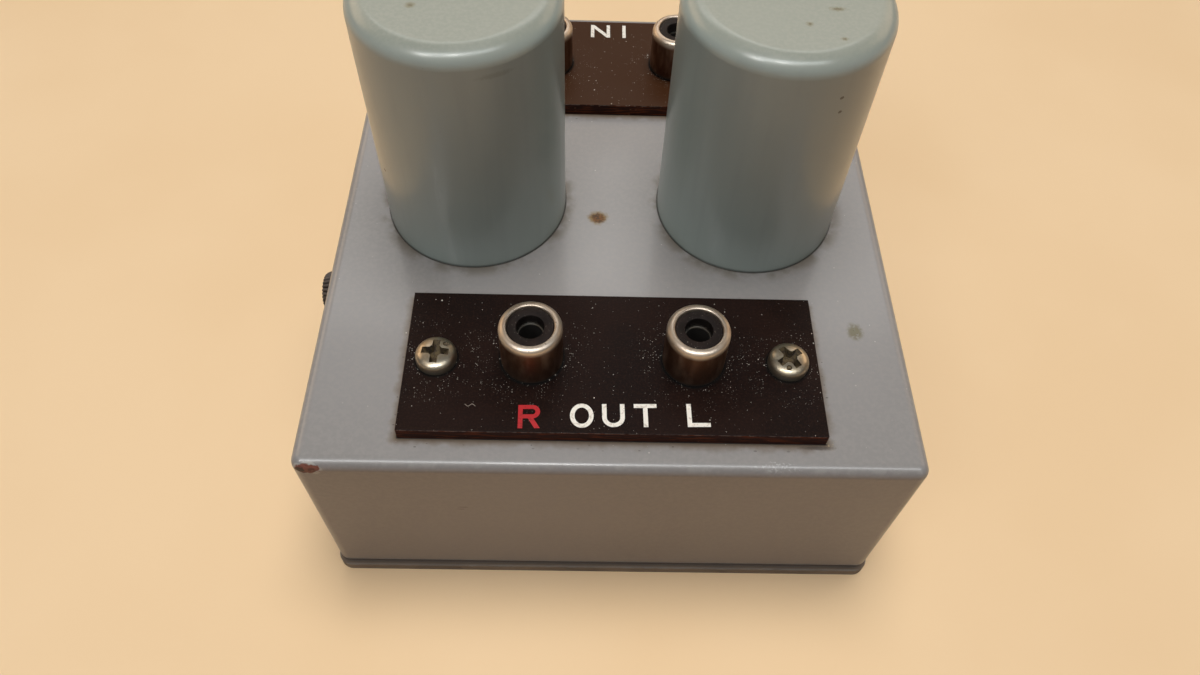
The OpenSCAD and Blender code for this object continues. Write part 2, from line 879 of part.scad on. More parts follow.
module terminal_cap() {
    root_r = cap_d / 2 - cap_tooth;
    points = [for (i = [0 : 2 * cap_knurls - 1])
        let (turn = 180 * i / cap_knurls, r = i % 2 == 0 ? cap_d / 2 : root_r)
        [r * cos(turn), r * sin(turn)]];
    color("#1f1d1c")
    at_terminal()
        difference() {
            translate([0, 0, cap_w]) {
                cylinder(r = root_r - cap_tooth, h = cap_l);
                translate([0, 0, cap_bevel])
                    linear_extrude(cap_l - 2 * cap_bevel)
                        polygon(points);
            }
            translate([0, 0, cap_w - past])
                cylinder(r = stud_d / 2 + snug, h = cap_bore_w - cap_w + past);
        }
}

// Wiring

module can_leads(sx, sy) {
    quarter(sx, sy) {
        tube(hot_route, lead_r, 3);
        tube(tag_route, lead_r, 3);
    }
}

module primary_leads(sx) {
    color("#a8322a")
    can_leads(sx, 1);
}

module secondary_leads(sx) {
    color("#d8cfae")
    can_leads(sx, -1);
}

module earth_leads() {
    color("#2b2b2b") {
        tube(earth_route, lead_r, 3);
        tube(link_route, lead_r, 3);
    }
}

case();
bottom_cover();
cover_screws();
cover_nuts();
can(-1);  // can_r
can(1);  // can_l
can_base(-1);  // can_base_r
can_base(1);  // can_base_l
bush(-1);  // bush_r
bush(1);  // bush_l
bush_washers();
bush_nuts();
core(-1);  // core_r
core(1);  // core_l
core_strap(-1);  // core_strap_r
core_strap(1);  // core_strap_l
bobbin(-1);  // bobbin_r
bobbin(1);  // bobbin_l
primary_winding(-1);  // primary_winding_r
primary_winding(1);  // primary_winding_l
secondary_winding(-1);  // secondary_winding_r
secondary_winding(1);  // secondary_winding_l
packing_pad(-1);  // packing_pad_r
packing_pad(1);  // packing_pad_l
jack_plate(-1);  // out_plate
jack_plate(1);  // in_plate
plate_screws();
plate_washers();
plate_nuts();
jack_shell(-1, -1);  // out_r_shell
jack_shell(1, -1);  // out_l_shell
jack_shell(-1, 1);  // in_r_shell
jack_shell(1, 1);  // in_l_shell
jack_insulator(-1, -1);  // out_r_insulator
jack_insulator(1, -1);  // out_l_insulator
jack_insulator(-1, 1);  // in_r_insulator
jack_insulator(1, 1);  // in_l_insulator
jack_contact(-1, -1);  // out_r_contact
jack_contact(1, -1);  // out_l_contact
jack_contact(-1, 1);  // in_r_contact
jack_contact(1, 1);  // in_l_contact
jack_tag(-1, -1);  // out_r_tag
jack_tag(1, -1);  // out_l_tag
jack_tag(-1, 1);  // in_r_tag
jack_tag(1, 1);  // in_l_tag
terminal_stud();
terminal_lug();
terminal_lock_washer();
terminal_nut();
clamp_washer();
terminal_cap();
primary_leads(-1);  // primary_leads_r
primary_leads(1);  // primary_leads_l
secondary_leads(-1);  // secondary_leads_r
secondary_leads(1);  // secondary_leads_l
earth_leads();
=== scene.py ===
"""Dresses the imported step-up transformer: finishes, fine shapes, lettering, floor, light and camera.

Lengths are in metres, in the frame of the CAD model: +X to the right and +Y to the back as seen from the
output side, +Z up. Sizes that the frame doesn't give are written in millimetres, times MM. Only the sizes of
noise, specks and patches, which a Skin takes, are plain millimetres.
"""

import json
import math

import bmesh
import bpy
from mathutils import Matrix, Vector


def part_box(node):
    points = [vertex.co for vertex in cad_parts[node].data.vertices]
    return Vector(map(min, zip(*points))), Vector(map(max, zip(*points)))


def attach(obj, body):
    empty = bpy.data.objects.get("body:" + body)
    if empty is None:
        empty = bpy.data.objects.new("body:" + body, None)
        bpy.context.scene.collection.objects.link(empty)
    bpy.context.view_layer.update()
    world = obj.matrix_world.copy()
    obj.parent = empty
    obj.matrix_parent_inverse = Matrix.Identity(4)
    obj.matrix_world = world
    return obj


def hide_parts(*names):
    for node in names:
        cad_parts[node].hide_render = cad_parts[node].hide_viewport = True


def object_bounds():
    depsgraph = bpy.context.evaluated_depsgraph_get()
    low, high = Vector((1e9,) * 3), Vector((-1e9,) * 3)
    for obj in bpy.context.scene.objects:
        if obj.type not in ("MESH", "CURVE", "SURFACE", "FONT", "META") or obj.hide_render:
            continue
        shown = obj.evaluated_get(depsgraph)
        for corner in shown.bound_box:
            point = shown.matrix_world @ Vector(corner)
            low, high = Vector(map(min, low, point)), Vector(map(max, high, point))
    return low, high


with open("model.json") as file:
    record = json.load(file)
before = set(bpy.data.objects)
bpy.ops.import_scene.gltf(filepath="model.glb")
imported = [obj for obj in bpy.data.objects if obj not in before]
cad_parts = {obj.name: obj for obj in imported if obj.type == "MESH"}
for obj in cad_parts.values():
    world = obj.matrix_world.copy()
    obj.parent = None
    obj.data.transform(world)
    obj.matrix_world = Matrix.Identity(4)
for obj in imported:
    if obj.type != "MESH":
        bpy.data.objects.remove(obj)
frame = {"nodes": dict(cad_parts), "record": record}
cad_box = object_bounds()
scene = bpy.context.scene
scene.view_settings.view_transform = "Standard"
MM = 0.001
MICRON = 1e-6


def srgb(red, green, blue):
    """A colour as it looks on a screen, 0 to 255, as the linear colour that a shader takes."""
    shares = [value / 255 for value in (red, green, blue)]
    return [s / 12.92 if s <= 0.04045 else ((s + 0.055) / 1.055) ** 2.4 for s in shares] + [1.0]


# Places that the frame gives

mounts = {mount["name"]: mount for mount in frame["record"]["mounts"]}
case_low, case_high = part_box("case")
top_z = case_high.z
out_low, out_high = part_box("out_plate")
in_low, in_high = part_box("in_plate")
plate_z = out_high.z
can_low, can_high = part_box("can_r")
can_top_z = can_high.z
can_radius = (can_high.x - can_low.x) / 2
JACKS = ("out_r", "out_l", "in_r", "in_l")
screws_low, screws_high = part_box("plate_screws")
screw_head_r = screws_high.y - (in_low.y + in_high.y) / 2
screw_x = screws_high.x - screw_head_r
stud_low, stud_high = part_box("terminal_stud")
cap_low, cap_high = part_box("terminal_cap")
cap_axis = (cap_low + cap_high).yz / 2


def middle(node):
    """The middle of a CAD node's box."""
    low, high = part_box(node)
    return (low + high) / 2


can_centres = [middle("can_r"), middle("can_l")]
jack_centres = [middle(jack + "_shell") for jack in JACKS]
screw_centres = [
    Vector((side * screw_x, middle(plate).y, plate_z))
    for plate in ("out_plate", "in_plate")
    for side in (-1, 1)
]


# Finishes

# Specks: the smallest radius as a share of the largest, the least strength, the soft share of a radius
SPECK_SMALLEST = 0.3
SPECK_FAINTEST = 0.25
SPECK_SOFT = 0.35


class Skin:
    """A procedural material: a base, with layers laid over it where masks say."""

    def __init__(self, name, colour, rough, metal=0.0):
        self.material = bpy.data.materials.new(name)
        self.material.use_nodes = True
        self.nodes = self.material.node_tree.nodes
        self.links = self.material.node_tree.links
        self.shader = self.nodes["Principled BSDF"]
        self.coordinates = self.nodes.new("ShaderNodeTexCoord")
        self.place = self.coordinates.outputs["Object"]
        self.colour = colour
        self.rough = rough
        self.metal = metal
        self.height = None

    def set(self, **values):
        """Sets numbers that are the same all over the surface, on the shader's own sockets."""
        for name, value in values.items():
            self.shader.inputs[name.replace("_", " ").title().replace("Ior", "IOR")].default_value = value

    def feed(self, socket, value):
        """Joins a socket to another, or gives it a value."""
        if isinstance(value, bpy.types.NodeSocket):
            self.links.new(value, socket)
        else:
            socket.default_value = value

    def node(self, kind, *terms, **settings):
        """A new node with its settings, whose first sockets take the terms."""
        made = self.nodes.new("ShaderNode" + kind)
        for name, value in settings.items():
            setattr(made, name, value)
        for socket, term in zip(made.inputs, terms):
            self.feed(socket, term)
        return made

    def math(self, operation, *terms):
        return self.node("Math", *terms, operation=operation).outputs[0]

    def vector(self, operation, *terms):
        made = self.node("VectorMath", *terms, operation=operation)
        return made.outputs["Value" if operation == "LENGTH" else "Vector"]

    def part(self, vector, axis):
        """One of a vector's three numbers."""
        return self.node("SeparateXYZ", vector).outputs[axis.upper()]

    def ramp(self, value, zero, one):
        """0 where the value is at zero, 1 where it is at one, smooth between; either may be the larger."""
        return self.node("MapRange", value, zero, one, interpolation_type="SMOOTHSTEP").outputs[0]

    def times(self, product, *others):
        """The product of masks and numbers."""
        for other in others:
            product = self.math("MULTIPLY", product, other)
        return product

    def stretched(self, factors):
        """The place on the part, with its axes stretched, for marks that are longer one way."""
        return self.vector("MULTIPLY", self.place, factors)

    def noise(self, size, detail=3, at=None):
        """Cloudy noise about 0.5, with features of about the given size in millimetres."""
        made = self.node("TexNoise", at or self.place)
        made.inputs["Scale"].default_value = 1 / (size * MM)
        made.inputs["Detail"].default_value = detail
        return made.outputs[0]

    def clouds(self, size, detail, low, high, at=None):
        """Cloudy patches: 0 where noise of the given size is below low, 1 where it is above high."""
        return self.ramp(self.noise(size, detail, at), low, high)

    def specks(self, spacing, share, radius, at=None, flat=False):
        """Small round specks, some fainter, up to the given radius, in a share of the cells of a spacing.

        Both are in millimetres. Flat specks lie in plan, for level faces.
        """
        cells = self.node("TexVoronoi", at or self.place, voronoi_dimensions="2D" if flat else "3D")
        cells.inputs["Scale"].default_value = 1 / (spacing * MM)
        largest = radius / spacing
        chances = cells.outputs["Color"]
        held = self.math("LESS_THAN", self.part(chances, "x"), share)
        smallest = SPECK_SMALLEST * largest
        reach = self.math("MULTIPLY_ADD", self.part(chances, "y"), largest - smallest, smallest)
        past = self.math("SUBTRACT", cells.outputs["Distance"], reach)
        inside = self.ramp(past, 0.0, -SPECK_SOFT * largest)
        strength = self.math("MULTIPLY_ADD", self.part(chances, "z"), 1 - SPECK_FAINTEST, SPECK_FAINTEST)
        return self.times(held, strength, inside)

    def past_box(self, low, high, inset=0.0):
        """How far the place is past a box's faces along each axis; an inset moves the faces inwards."""
        beside = self.vector("ABSOLUTE", self.vector("SUBTRACT", self.place, (low + high) / 2))
        return self.vector("SUBTRACT", beside, (high - low) / 2 - Vector((inset, inset, inset)))

    def gap_to_rectangle(self, low, high):
        """Distance in plan from the outline of a rectangle, outside it; 0 inside."""
        outside = self.vector("MAXIMUM", self.past_box(low, high), (0, 0, 0))
        return self.vector("LENGTH", self.vector("MULTIPLY", outside, (1, 1, 0)))

    def from_axis(self, centre):
        """Distance from an upright axis."""
        flat = self.vector("MULTIPLY", self.vector("SUBTRACT", self.place, centre), (1, 1, 0))
        return self.vector("LENGTH", flat)

    def least(self, values):
        """The smallest of several values."""
        smallest = values[0]
        for value in values[1:]:
            smallest = self.math("MINIMUM", smallest, value)
        return smallest

    def patch(self, centre, radii, ragged=0.35, soft=0.25):
        """1 within an ellipsoid with radii in millimetres and a ragged edge, 0 outside."""
        scaled = self.vector("DIVIDE", self.vector("SUBTRACT", self.place, centre), Vector(radii) * MM)
        edge = self.math("MULTIPLY_ADD", self.noise(min(radii)), 2 * ragged, 1 - ragged)
        return self.ramp(self.math("SUBTRACT", self.vector("LENGTH", scaled), edge), soft, -soft)

    def edges(self, low, high, band):
        """1 on the edges of a box, falling to 0 at the given band's width inside each of its faces."""
        past = self.past_box(low, high, band)
        x, y, z = (self.part(past, axis) for axis in "xyz")
        pairs = [self.math("MINIMUM", *pair) for pair in ((x, y), (y, z), (x, z))]
        nearest = self.math("MAXIMUM", self.math("MAXIMUM", pairs[0], pairs[1]), pairs[2])
        return self.ramp(nearest, 0.0, band)

    def side(self, level=0.75, upright=0.45):
        """1 on upright faces, 0 on level ones, with the slopes where it starts and ends between them."""
        up = self.math("ABSOLUTE", self.part(self.coordinates.outputs["Normal"], "z"))
        return self.ramp(up, level, upright)

    def level(self):
        """1 on level faces, 0 on upright ones."""
        return self.math("SUBTRACT", 1.0, self.side())

    def mix(self, mask, below, above, kind):
        """Two colours or numbers mixed by a mask; the node's sockets for colours follow those for numbers."""
        made = self.node("Mix", mask, data_type=kind)
        first = 6 if kind == "RGBA" else 2
        self.feed(made.inputs[first], below)
        self.feed(made.inputs[first + 1], above)
        return made.outputs[2 if kind == "RGBA" else 0]

    def layer(self, mask, colour=None, rough=None, metal=None, height=None, share=None):
        """Lays a finish, or a share of one, where the mask is 1; its height is in metres."""
        if share is not None:
            mask = self.times(mask, share)
        if colour is not None:
            self.colour = self.mix(mask, self.colour, colour, "RGBA")
        if rough is not None:
            self.rough = self.mix(mask, self.rough, rough, "FLOAT")
        if metal is not None:
            self.metal = self.mix(mask, self.metal, metal, "FLOAT")
        if height is not None:
            self.lift(self.times(mask, height))

    def lift(self, height):
        """Adds to the surface's height, in metres."""
        self.height = height if self.height is None else self.math("ADD", self.height, height)

    def grain(self, size, detail, height, at=None):
        """Adds a fine unevenness, of a size in millimetres and a height in microns."""
        self.lift(self.times(self.noise(size, detail, at), height * MICRON))

    def done(self):
        """Joins it all to the shader, and gives the material."""
        self.feed(self.shader.inputs["Base Color"], self.colour)
        self.feed(self.shader.inputs["Roughness"], self.rough)
        self.feed(self.shader.inputs["Metallic"], self.metal)
        if self.height is not None:
            bump = self.node("Bump")
            bump.inputs["Distance"].default_value = 1.0
            self.links.new(self.height, bump.inputs["Height"])
            self.links.new(bump.outputs["Normal"], self.shader.inputs["Normal"])
        return self.material


finishes = {}


def finish(colour, rough, metal=0.0):
    """Heads a function that lays a finish over a base; the finish is kept under the function's name."""
    def keep(lay):
        skin = Skin(lay.__name__, colour, rough, metal)
        lay(skin)
        finishes[lay.__name__] = skin.done()
        return lay
    return keep


DUST = srgb(226, 219, 208)

# Places of the case's old marks
RUST_SPOT = Vector((-2.05 * MM, -3.36 * MM, top_z))
STAIN = Vector((34.26 * MM, -23.74 * MM, top_z))
DARK_STREAK = Vector((out_high.x - 1.4 * MM, out_low.y - 0.55 * MM, top_z))
CRUMBS = Vector((out_high.x + 0.5 * MM, out_low.y + 0.5 * MM, top_z))
SCUFF = Vector((21.0 * MM, case_low.y + 0.9 * MM, top_z - 0.3 * MM))
FRONT_MARK = Vector((-20.18 * MM, case_low.y, 22.69 * MM))
CHIP = Vector((-38.6 * MM, case_low.y + 0.1 * MM, top_z - 1.2 * MM))
CHIP_BARE = CHIP + Vector((-1.0 * MM, 0, -0.1 * MM))


@finish(srgb(141, 138, 137), 0.30)
def grey_enamel(skin):
    """Smooth gloss grey enamel on the case, with grime and painted shadow lines round the plates and cans,
    and a few old marks.
    """
    skin.set(specular_ior_level=0.4, coat_weight=0.2, coat_roughness=0.10)
    skin.layer(skin.clouds(30, 1, 0.30, 0.70), srgb(138, 135, 133), 0.33)
    skin.layer(skin.clouds(0.6, 2, 0.35, 0.70), srgb(144, 140, 138))
    skin.grain(1.3, 2, 1.6)
    skin.grain(0.35, 2, 0.25)

    # Enamel worn thin and rubbed along the bends
    bends = skin.edges(case_low, case_high, 1.1 * MM)
    rubbed = skin.times(bends, skin.clouds(2.4, 5, 0.50, 0.66))
    skin.layer(rubbed, srgb(174, 172, 168), 0.30, share=0.45)
    nicks = skin.times(bends, skin.specks(2.6, 0.10, 0.26))
    skin.layer(nicks, srgb(92, 78, 70), 0.6, height=-0.01 * MM)

    # A soft brown line of grime against the jack plates, a painted shadow line right at their edges, and a
    # few smudges
    uneven = skin.noise(1.8, 4)
    for low, high in ((out_low, out_high), (in_low, in_high)):
        gap = skin.gap_to_rectangle(low, high)
        reach = skin.math("MULTIPLY_ADD", uneven, 2.4 * MM, 0.3 * MM)
        skin.layer(skin.ramp(gap, reach, 0.0), srgb(98, 80, 58), 0.5, share=0.85)
        # Painted shadow: a near-black line on the case right at each plate's edge
        skin.layer(skin.ramp(gap, 0.20 * MM, 0.05 * MM), srgb(34, 27, 22), 0.6)
        smudges = skin.times(skin.ramp(gap, 1.9 * MM, 0.9 * MM), skin.ramp(gap, 0.3 * MM, 0.7 * MM))
        dots = skin.specks(0.9, 0.30, 0.16, skin.stretched((0.6, 1.2, 1)), flat=True)
        skin.layer(skin.times(smudges, dots), srgb(66, 60, 54), 0.5, share=0.9)

    # Brown dirt haze round each can, and a painted shadow line where each can stands on the case
    for centre in can_centres:
        gap = skin.math("SUBTRACT", skin.from_axis(centre), can_radius)
        stained = skin.clouds(4, 4, 0.38, 0.60)
        haze = skin.times(skin.ramp(gap, 2.4 * MM, 0.1 * MM), stained)
        skin.layer(haze, srgb(98, 88, 74), 0.5, share=0.75)
        # Painted shadow: a dark line on the case right against each can's foot
        skin.layer(skin.ramp(gap, 0.26 * MM, 0.08 * MM), srgb(58, 55, 50), 0.55)

    # A rust spot between the cans, a stain at the right, a dark streak in front of the plate's corner, a mark
    # in front
    rust = skin.patch(RUST_SPOT, (1.35, 1.15, 0.9), ragged=0.6, soft=0.4)
    skin.layer(rust, srgb(124, 96, 36), 0.7, height=0.006 * MM, share=0.9)
    core = skin.patch(RUST_SPOT, (1.0, 0.8, 0.9), ragged=0.6, soft=0.5)
    skin.layer(core, srgb(104, 62, 2), 0.8)
    pitted = skin.times(core, skin.clouds(0.4, 3, 0.45, 0.60))
    skin.layer(pitted, srgb(62, 40, 4), 0.8)
    stain = skin.patch(STAIN, (1.05, 1.3, 0.9), soft=0.4)
    mottled = skin.times(stain, skin.clouds(0.55, 4, 0.25, 0.55))
    skin.layer(mottled, srgb(106, 100, 76), 0.5, share=0.85)
    skin.layer(skin.times(stain, skin.specks(0.5, 0.3, 0.10, flat=True)), srgb(78, 70, 52), 0.5)
    dark_streak = skin.patch(DARK_STREAK, (2.0, 0.26, 0.5), ragged=0.6, soft=0.5)
    skin.layer(dark_streak, srgb(70, 63, 57), 0.5, share=0.7)
    for offset, length in ((-0.35, 0.5), (0.3, 0.75)):
        stroke = skin.patch(FRONT_MARK + Vector((0.5 * offset, 0, offset)) * MM, (length, 0.5, 0.10))
        skin.layer(stroke, srgb(92, 84, 78), 0.5, share=0.7)

    # Pale crumbs at the plate's corner, and a scuffed stretch of the front bend
    beside = skin.patch(CRUMBS, (0.7, 1.3, 0.5), ragged=0.5)
    crumbs = skin.times(beside, skin.specks(0.34, 0.6, 0.12, flat=True))
    skin.layer(crumbs, srgb(176, 158, 122), 0.8, height=0.02 * MM)
    scuffed = skin.patch(SCUFF, (2.6, 0.7, 0.5), ragged=0.6, soft=0.5)
    scuffs = skin.times(scuffed, skin.clouds(0.35, 3, 0.54, 0.64))
    skin.layer(scuffs, srgb(190, 189, 188), 0.45, share=0.55)

    # Chipped enamel at the front left corner, down to the primer, with a pale ring round it as a painted
    # highlight on the broken edge
    # Painted highlight: a pale ring laid round the chip
    rim = skin.patch(CHIP, (1.75, 1.4, 1.05), ragged=0.6, soft=0.10)
    skin.layer(rim, srgb(186, 182, 176), 0.4, share=0.6)
    chip = skin.patch(CHIP, (1.5, 1.2, 0.85), ragged=0.75, soft=0.08)
    skin.layer(chip, srgb(126, 74, 60), 0.65, height=-0.05 * MM)
    skin.layer(skin.times(chip, skin.clouds(0.5, 3, 0.5, 0.62)), srgb(96, 54, 44), 0.7)
    skin.layer(skin.patch(CHIP_BARE, (0.6, 0.8, 0.42), soft=0.15), srgb(58, 38, 32), 0.6)

    # Dust and pinholes
    level = skin.level()
    dust = skin.times(skin.specks(3.6, 0.30, 0.12, flat=True), level)
    skin.layer(dust, srgb(205, 199, 190), 0.6, share=0.8)
    skin.layer(skin.specks(6.5, 0.30, 0.20), srgb(84, 76, 70), 0.5, share=0.7)


# Each stain's place on a can's top, and its half length and half width, in millimetres
CAN_STAINS = (
    (-25.07, -4.49, 0.55, 0.50),
    (25.62, -3.13, 0.95, 0.38),
    (21.88, -6.12, 0.42, 0.36),
    (25.62, -8.73, 0.42, 0.30),
    (27.35, -10.99, 0.45, 0.26),
)
CAN_SMEAR = Vector((-14.72, -12.09, 68.96)) * MM
CAN_SCUFFS = (
    Vector((26.21, -12.12, 66.82)) * MM,
    Vector((26.56, -11.95, 64.52)) * MM,
    Vector((-31.64, -7.45, 48.40)) * MM,
)


@finish(srgb(145, 150, 140), 0.31)
def can_enamel(skin):
    """Smooth gloss grey-green enamel on the cans, its walls painted lighter and bluer than the tops as
    painted light, with brown stains.
    """
    skin.set(specular_ior_level=0.45, coat_weight=0.3, coat_roughness=0.20)
    skin.layer(skin.clouds(22, 1, 0.30, 0.70), srgb(142, 147, 137), 0.34)
    skin.layer(skin.clouds(0.5, 2, 0.35, 0.70), srgb(149, 152, 142))
    skin.grain(1.1, 2, 1.4)

    # Walls painted lighter and bluer than the tops, as painted light and reflection, with handling marks that
    # run down them
    skin.layer(skin.side(0.98, 0.2), srgb(172, 184, 178))
    streaks = skin.clouds(1.6, 2, 0.45, 0.75, skin.stretched((1, 1, 0.08)))
    skin.layer(skin.times(streaks, skin.side()), srgb(158, 167, 165), share=0.20)
    shoulder = skin.patch(CAN_SMEAR, (2.2, 1.4, 0.35), ragged=0.6, soft=0.5)
    skin.layer(shoulder, srgb(118, 116, 106), share=0.3)

    # Faint brown-green stains, and small scuffs on the walls
    for x, y, long, wide in CAN_STAINS:
        place = Vector((x * MM, y * MM, can_top_z))
        smudge = skin.patch(place, (long, wide, long), ragged=0.8, soft=0.5)
        skin.layer(smudge, srgb(122, 118, 94), 0.42, share=0.7)
        core = skin.patch(place, (0.5 * long, 0.5 * wide, long), ragged=0.8, soft=0.4)
        skin.layer(core, srgb(96, 86, 62), 0.5, share=0.7)
    for place in CAN_SCUFFS:
        skin.layer(skin.patch(place, (0.28, 0.28, 0.22)), srgb(84, 80, 70), 0.5, share=0.8)

    # Painted shade at the foot, dust on the top
    painted_foot_shade = skin.ramp(skin.part(skin.place, "z"), top_z + 0.5 * MM, top_z + 0.05 * MM)
    skin.layer(painted_foot_shade, srgb(66, 64, 58), 0.5, share=0.6)
    skin.layer(skin.specks(3.4, 0.25, 0.13), srgb(208, 204, 190), 0.6, share=0.7)
    skin.layer(skin.specks(4.8, 0.25, 0.17), srgb(92, 82, 66), 0.5, share=0.7)


JACK_RADIUS = mounts["out_r_collar"]["dims"]["r_mm"] * MM
LINT = Vector((-18.47 * MM, -37.79 * MM, plate_z))
LINT_HALF = 0.75 * MM
LINT_RISE = 0.16 * MM
LINT_WAVE = 6.0


@finish(srgb(18, 8, 6), 0.42)
def phenolic_sheet(skin):
    """Dark laminated phenolic: satin and dusty on its faces, with brown layers showing at its cut edges."""
    skin.set(specular_ior_level=0.14)
    skin.layer(skin.clouds(9, 2, 0.35, 0.68), srgb(26, 13, 9), 0.47)
    skin.grain(0.7, 3, 1.8)
    skin.layer(skin.clouds(0.28, 2, 0.46, 0.66), srgb(38, 22, 16), 0.5, share=0.6)

    # The input plate is painted browner, as a painted reflection of warm surroundings
    painted_warm_reflection = skin.ramp(skin.part(skin.place, "y"), -5 * MM, 5 * MM)
    skin.layer(painted_warm_reflection, srgb(62, 37, 20), share=0.85)

    # Layers of the cut edges
    side = skin.side()
    skin.layer(side, srgb(50, 20, 10), 0.62)
    plies = skin.times(side, skin.clouds(0.26, 4, 0.48, 0.62, skin.stretched((0.08, 0.08, 1))))
    skin.layer(plies, srgb(94, 44, 21), 0.7, height=0.008 * MM)
    frayed = skin.specks(0.5, 0.35, 0.12, skin.stretched((0.5, 0.5, 1)))
    skin.layer(skin.times(side, frayed), srgb(136, 98, 72), 0.7)
    arris = skin.ramp(skin.part(skin.place, "z"), plate_z - 0.2 * MM, plate_z - 0.1 * MM)
    rubbed = skin.times(arris, side, skin.clouds(0.8, 4, 0.40, 0.60))
    skin.layer(rubbed, srgb(126, 112, 102), 0.6, share=0.6)

    # Dust everywhere, thicker against the jacks and screws, a painted shadow ring round their feet, and a
    # curl of lint
    nearest = skin.least(
        [skin.math("SUBTRACT", skin.from_axis(centre), JACK_RADIUS) for centre in jack_centres]
        + [skin.math("SUBTRACT", skin.from_axis(centre), screw_head_r) for centre in screw_centres])
    close = skin.ramp(nearest, 5.5 * MM, 0.3 * MM)
    level = skin.level()
    # Painted shadow: a near-black ring on the plate round each jack's and screw's foot
    skin.layer(skin.times(skin.ramp(nearest, 0.5 * MM, 0.05 * MM), level), srgb(9, 7, 6), 0.6)
    drifts = skin.times(close, skin.clouds(2.2, 3, 0.40, 0.60))
    for spacing, share, radius in ((3.0, 0.20, 0.13), (1.3, 0.15, 0.085), (0.60, 0.12, 0.05)):
        loose = skin.specks(spacing, share, radius, flat=True)
        skin.layer(skin.times(loose, level), DUST, 0.8, height=0.01 * MM)
    for spacing, share, radius in ((0.70, 0.24, 0.09), (0.36, 0.40, 0.06)):
        crowded = skin.times(drifts, skin.specks(spacing, share, radius, flat=True))
        skin.layer(skin.times(crowded, level), DUST, 0.8)
    offset = skin.vector("SUBTRACT", skin.place, LINT)
    along = skin.part(offset, "x")
    curl = skin.times(skin.math("SINE", skin.times(along, LINT_WAVE / MM)), LINT_RISE)
    strand = skin.math("ABSOLUTE", skin.math("SUBTRACT", skin.part(offset, "y"), curl))
    length = skin.ramp(skin.math("ABSOLUTE", along), LINT_HALF, LINT_HALF - 0.1 * MM)
    lint = skin.times(skin.ramp(strand, 0.055 * MM, 0.03 * MM), skin.times(length, level))
    skin.layer(lint, srgb(170, 158, 146), 0.8, share=0.7)


RIM_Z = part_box("out_r_shell")[1].z


@finish((0.66, 0.56, 0.46, 1), 0.46, 1.0)
def nickel_shell(skin):
    """Aged nickel plating: a bright rolled rim, a wall painted much darker brown as painted shade, and a
    painted shadow line at the foot.
    """
    up = skin.part(skin.place, "z")
    tarnish = skin.clouds(1.7, 5, 0.44, 0.68)
    skin.layer(tarnish, (0.50, 0.37, 0.26, 1), 0.48, share=0.4)
    # Painted shade: the wall below the rim is given a much darker brown than the rim
    painted_dark_wall = skin.ramp(up, RIM_Z - 0.7 * MM, RIM_Z - 1.5 * MM)
    skin.layer(painted_dark_wall, (0.15, 0.075, 0.045, 1), 0.42)
    streaks = skin.clouds(1.6, 3, 0.40, 0.68, skin.stretched((1, 1, 0.3)))
    skin.layer(skin.times(painted_dark_wall, streaks), (0.31, 0.20, 0.14, 1), 0.40, share=0.8)
    skin.grain(0.16, 2, 0.8, skin.stretched((0.06, 0.06, 1)))
    spots = skin.specks(1.1, 0.22, 0.14)
    skin.layer(spots, (0.10, 0.07, 0.05, 1), 0.65, 0.25, -0.004 * MM)
    # Painted shadow: a near-black line at the shell's foot
    painted_foot_shade = skin.ramp(up, plate_z + 0.8 * MM, plate_z + 0.15 * MM)
    skin.layer(painted_foot_shade, (0.05, 0.038, 0.03, 1), 0.6, 0.2, share=0.85)
    skin.layer(skin.specks(0.9, 0.12, 0.08), DUST, 0.8, 0.0, share=0.8)


@finish(srgb(22, 15, 13), 0.5)
def black_moulding(skin):
    """Black moulded phenolic with pale dust in its corners."""
    skin.set(specular_ior_level=0.25)
    skin.layer(skin.clouds(1.4, 4, 0.42, 0.66), srgb(31, 22, 19), 0.58)
    skin.grain(0.25, 3, 1.5)
    level = skin.level()
    for spacing, share, radius in ((0.40, 0.30, 0.045), (1.0, 0.25, 0.08)):
        loose = skin.times(skin.specks(spacing, share, radius, flat=True), level)
        skin.layer(loose, srgb(176, 166, 154), 0.8, height=0.006 * MM, share=0.85)


def plated(name, colour, worn, tarnish_size, rough, foot_z=None):
    """A metal with a duller tarnish in patches and fine turning marks, and maybe painted shade at its foot.
    """
    skin = Skin(name, colour, rough, 1.0)
    skin.layer(skin.clouds(tarnish_size, 5, 0.42, 0.68), worn, rough + 0.14)
    skin.grain(0.14, 2, 0.8, skin.stretched((0.1, 0.1, 1)))
    dirt_and_shade = [0.4 * value for value in worn[:3]] + [1]
    skin.layer(skin.specks(1.3, 0.20, 0.12), dirt_and_shade, 0.7, 0.4)
    if foot_z is not None:
        # Painted shade: the foot of the head is darkened with the dirt colour
        rise = skin.math("SUBTRACT", skin.part(skin.place, "z"), foot_z)
        painted_foot_shade = skin.times(skin.ramp(rise, 1.0 * MM, 0.1 * MM), skin.ramp(rise, -0.2 * MM, -0.1 * MM))
        skin.layer(painted_foot_shade, dirt_and_shade, rough + 0.2, 0.6, share=0.8)
    return skin.done()


@finish((0.70, 0.65, 0.56, 1), 0.3, 1.0)
def contact_metal(skin):
    """Plated spring metal, bright at its mouth and darkened further in by painted shade."""
    skin.layer(skin.clouds(1.2, 5, 0.42, 0.68), (0.45, 0.38, 0.29, 1), 0.42)
    mouth_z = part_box("out_r_contact")[1].z
    # Painted shade: the contact goes near-black below its mouth, inside the bore
    painted_deep_shade = skin.ramp(skin.part(skin.place, "z"), mouth_z - 0.03 * MM, mouth_z - 0.22 * MM)
    inside = skin.ramp(skin.part(skin.place, "z"), plate_z - 4 * MM, plate_z)
    skin.layer(skin.times(painted_deep_shade, inside), (0.03, 0.024, 0.02, 1), 0.6, 0.3)
    skin.grain(0.14, 2, 0.8)


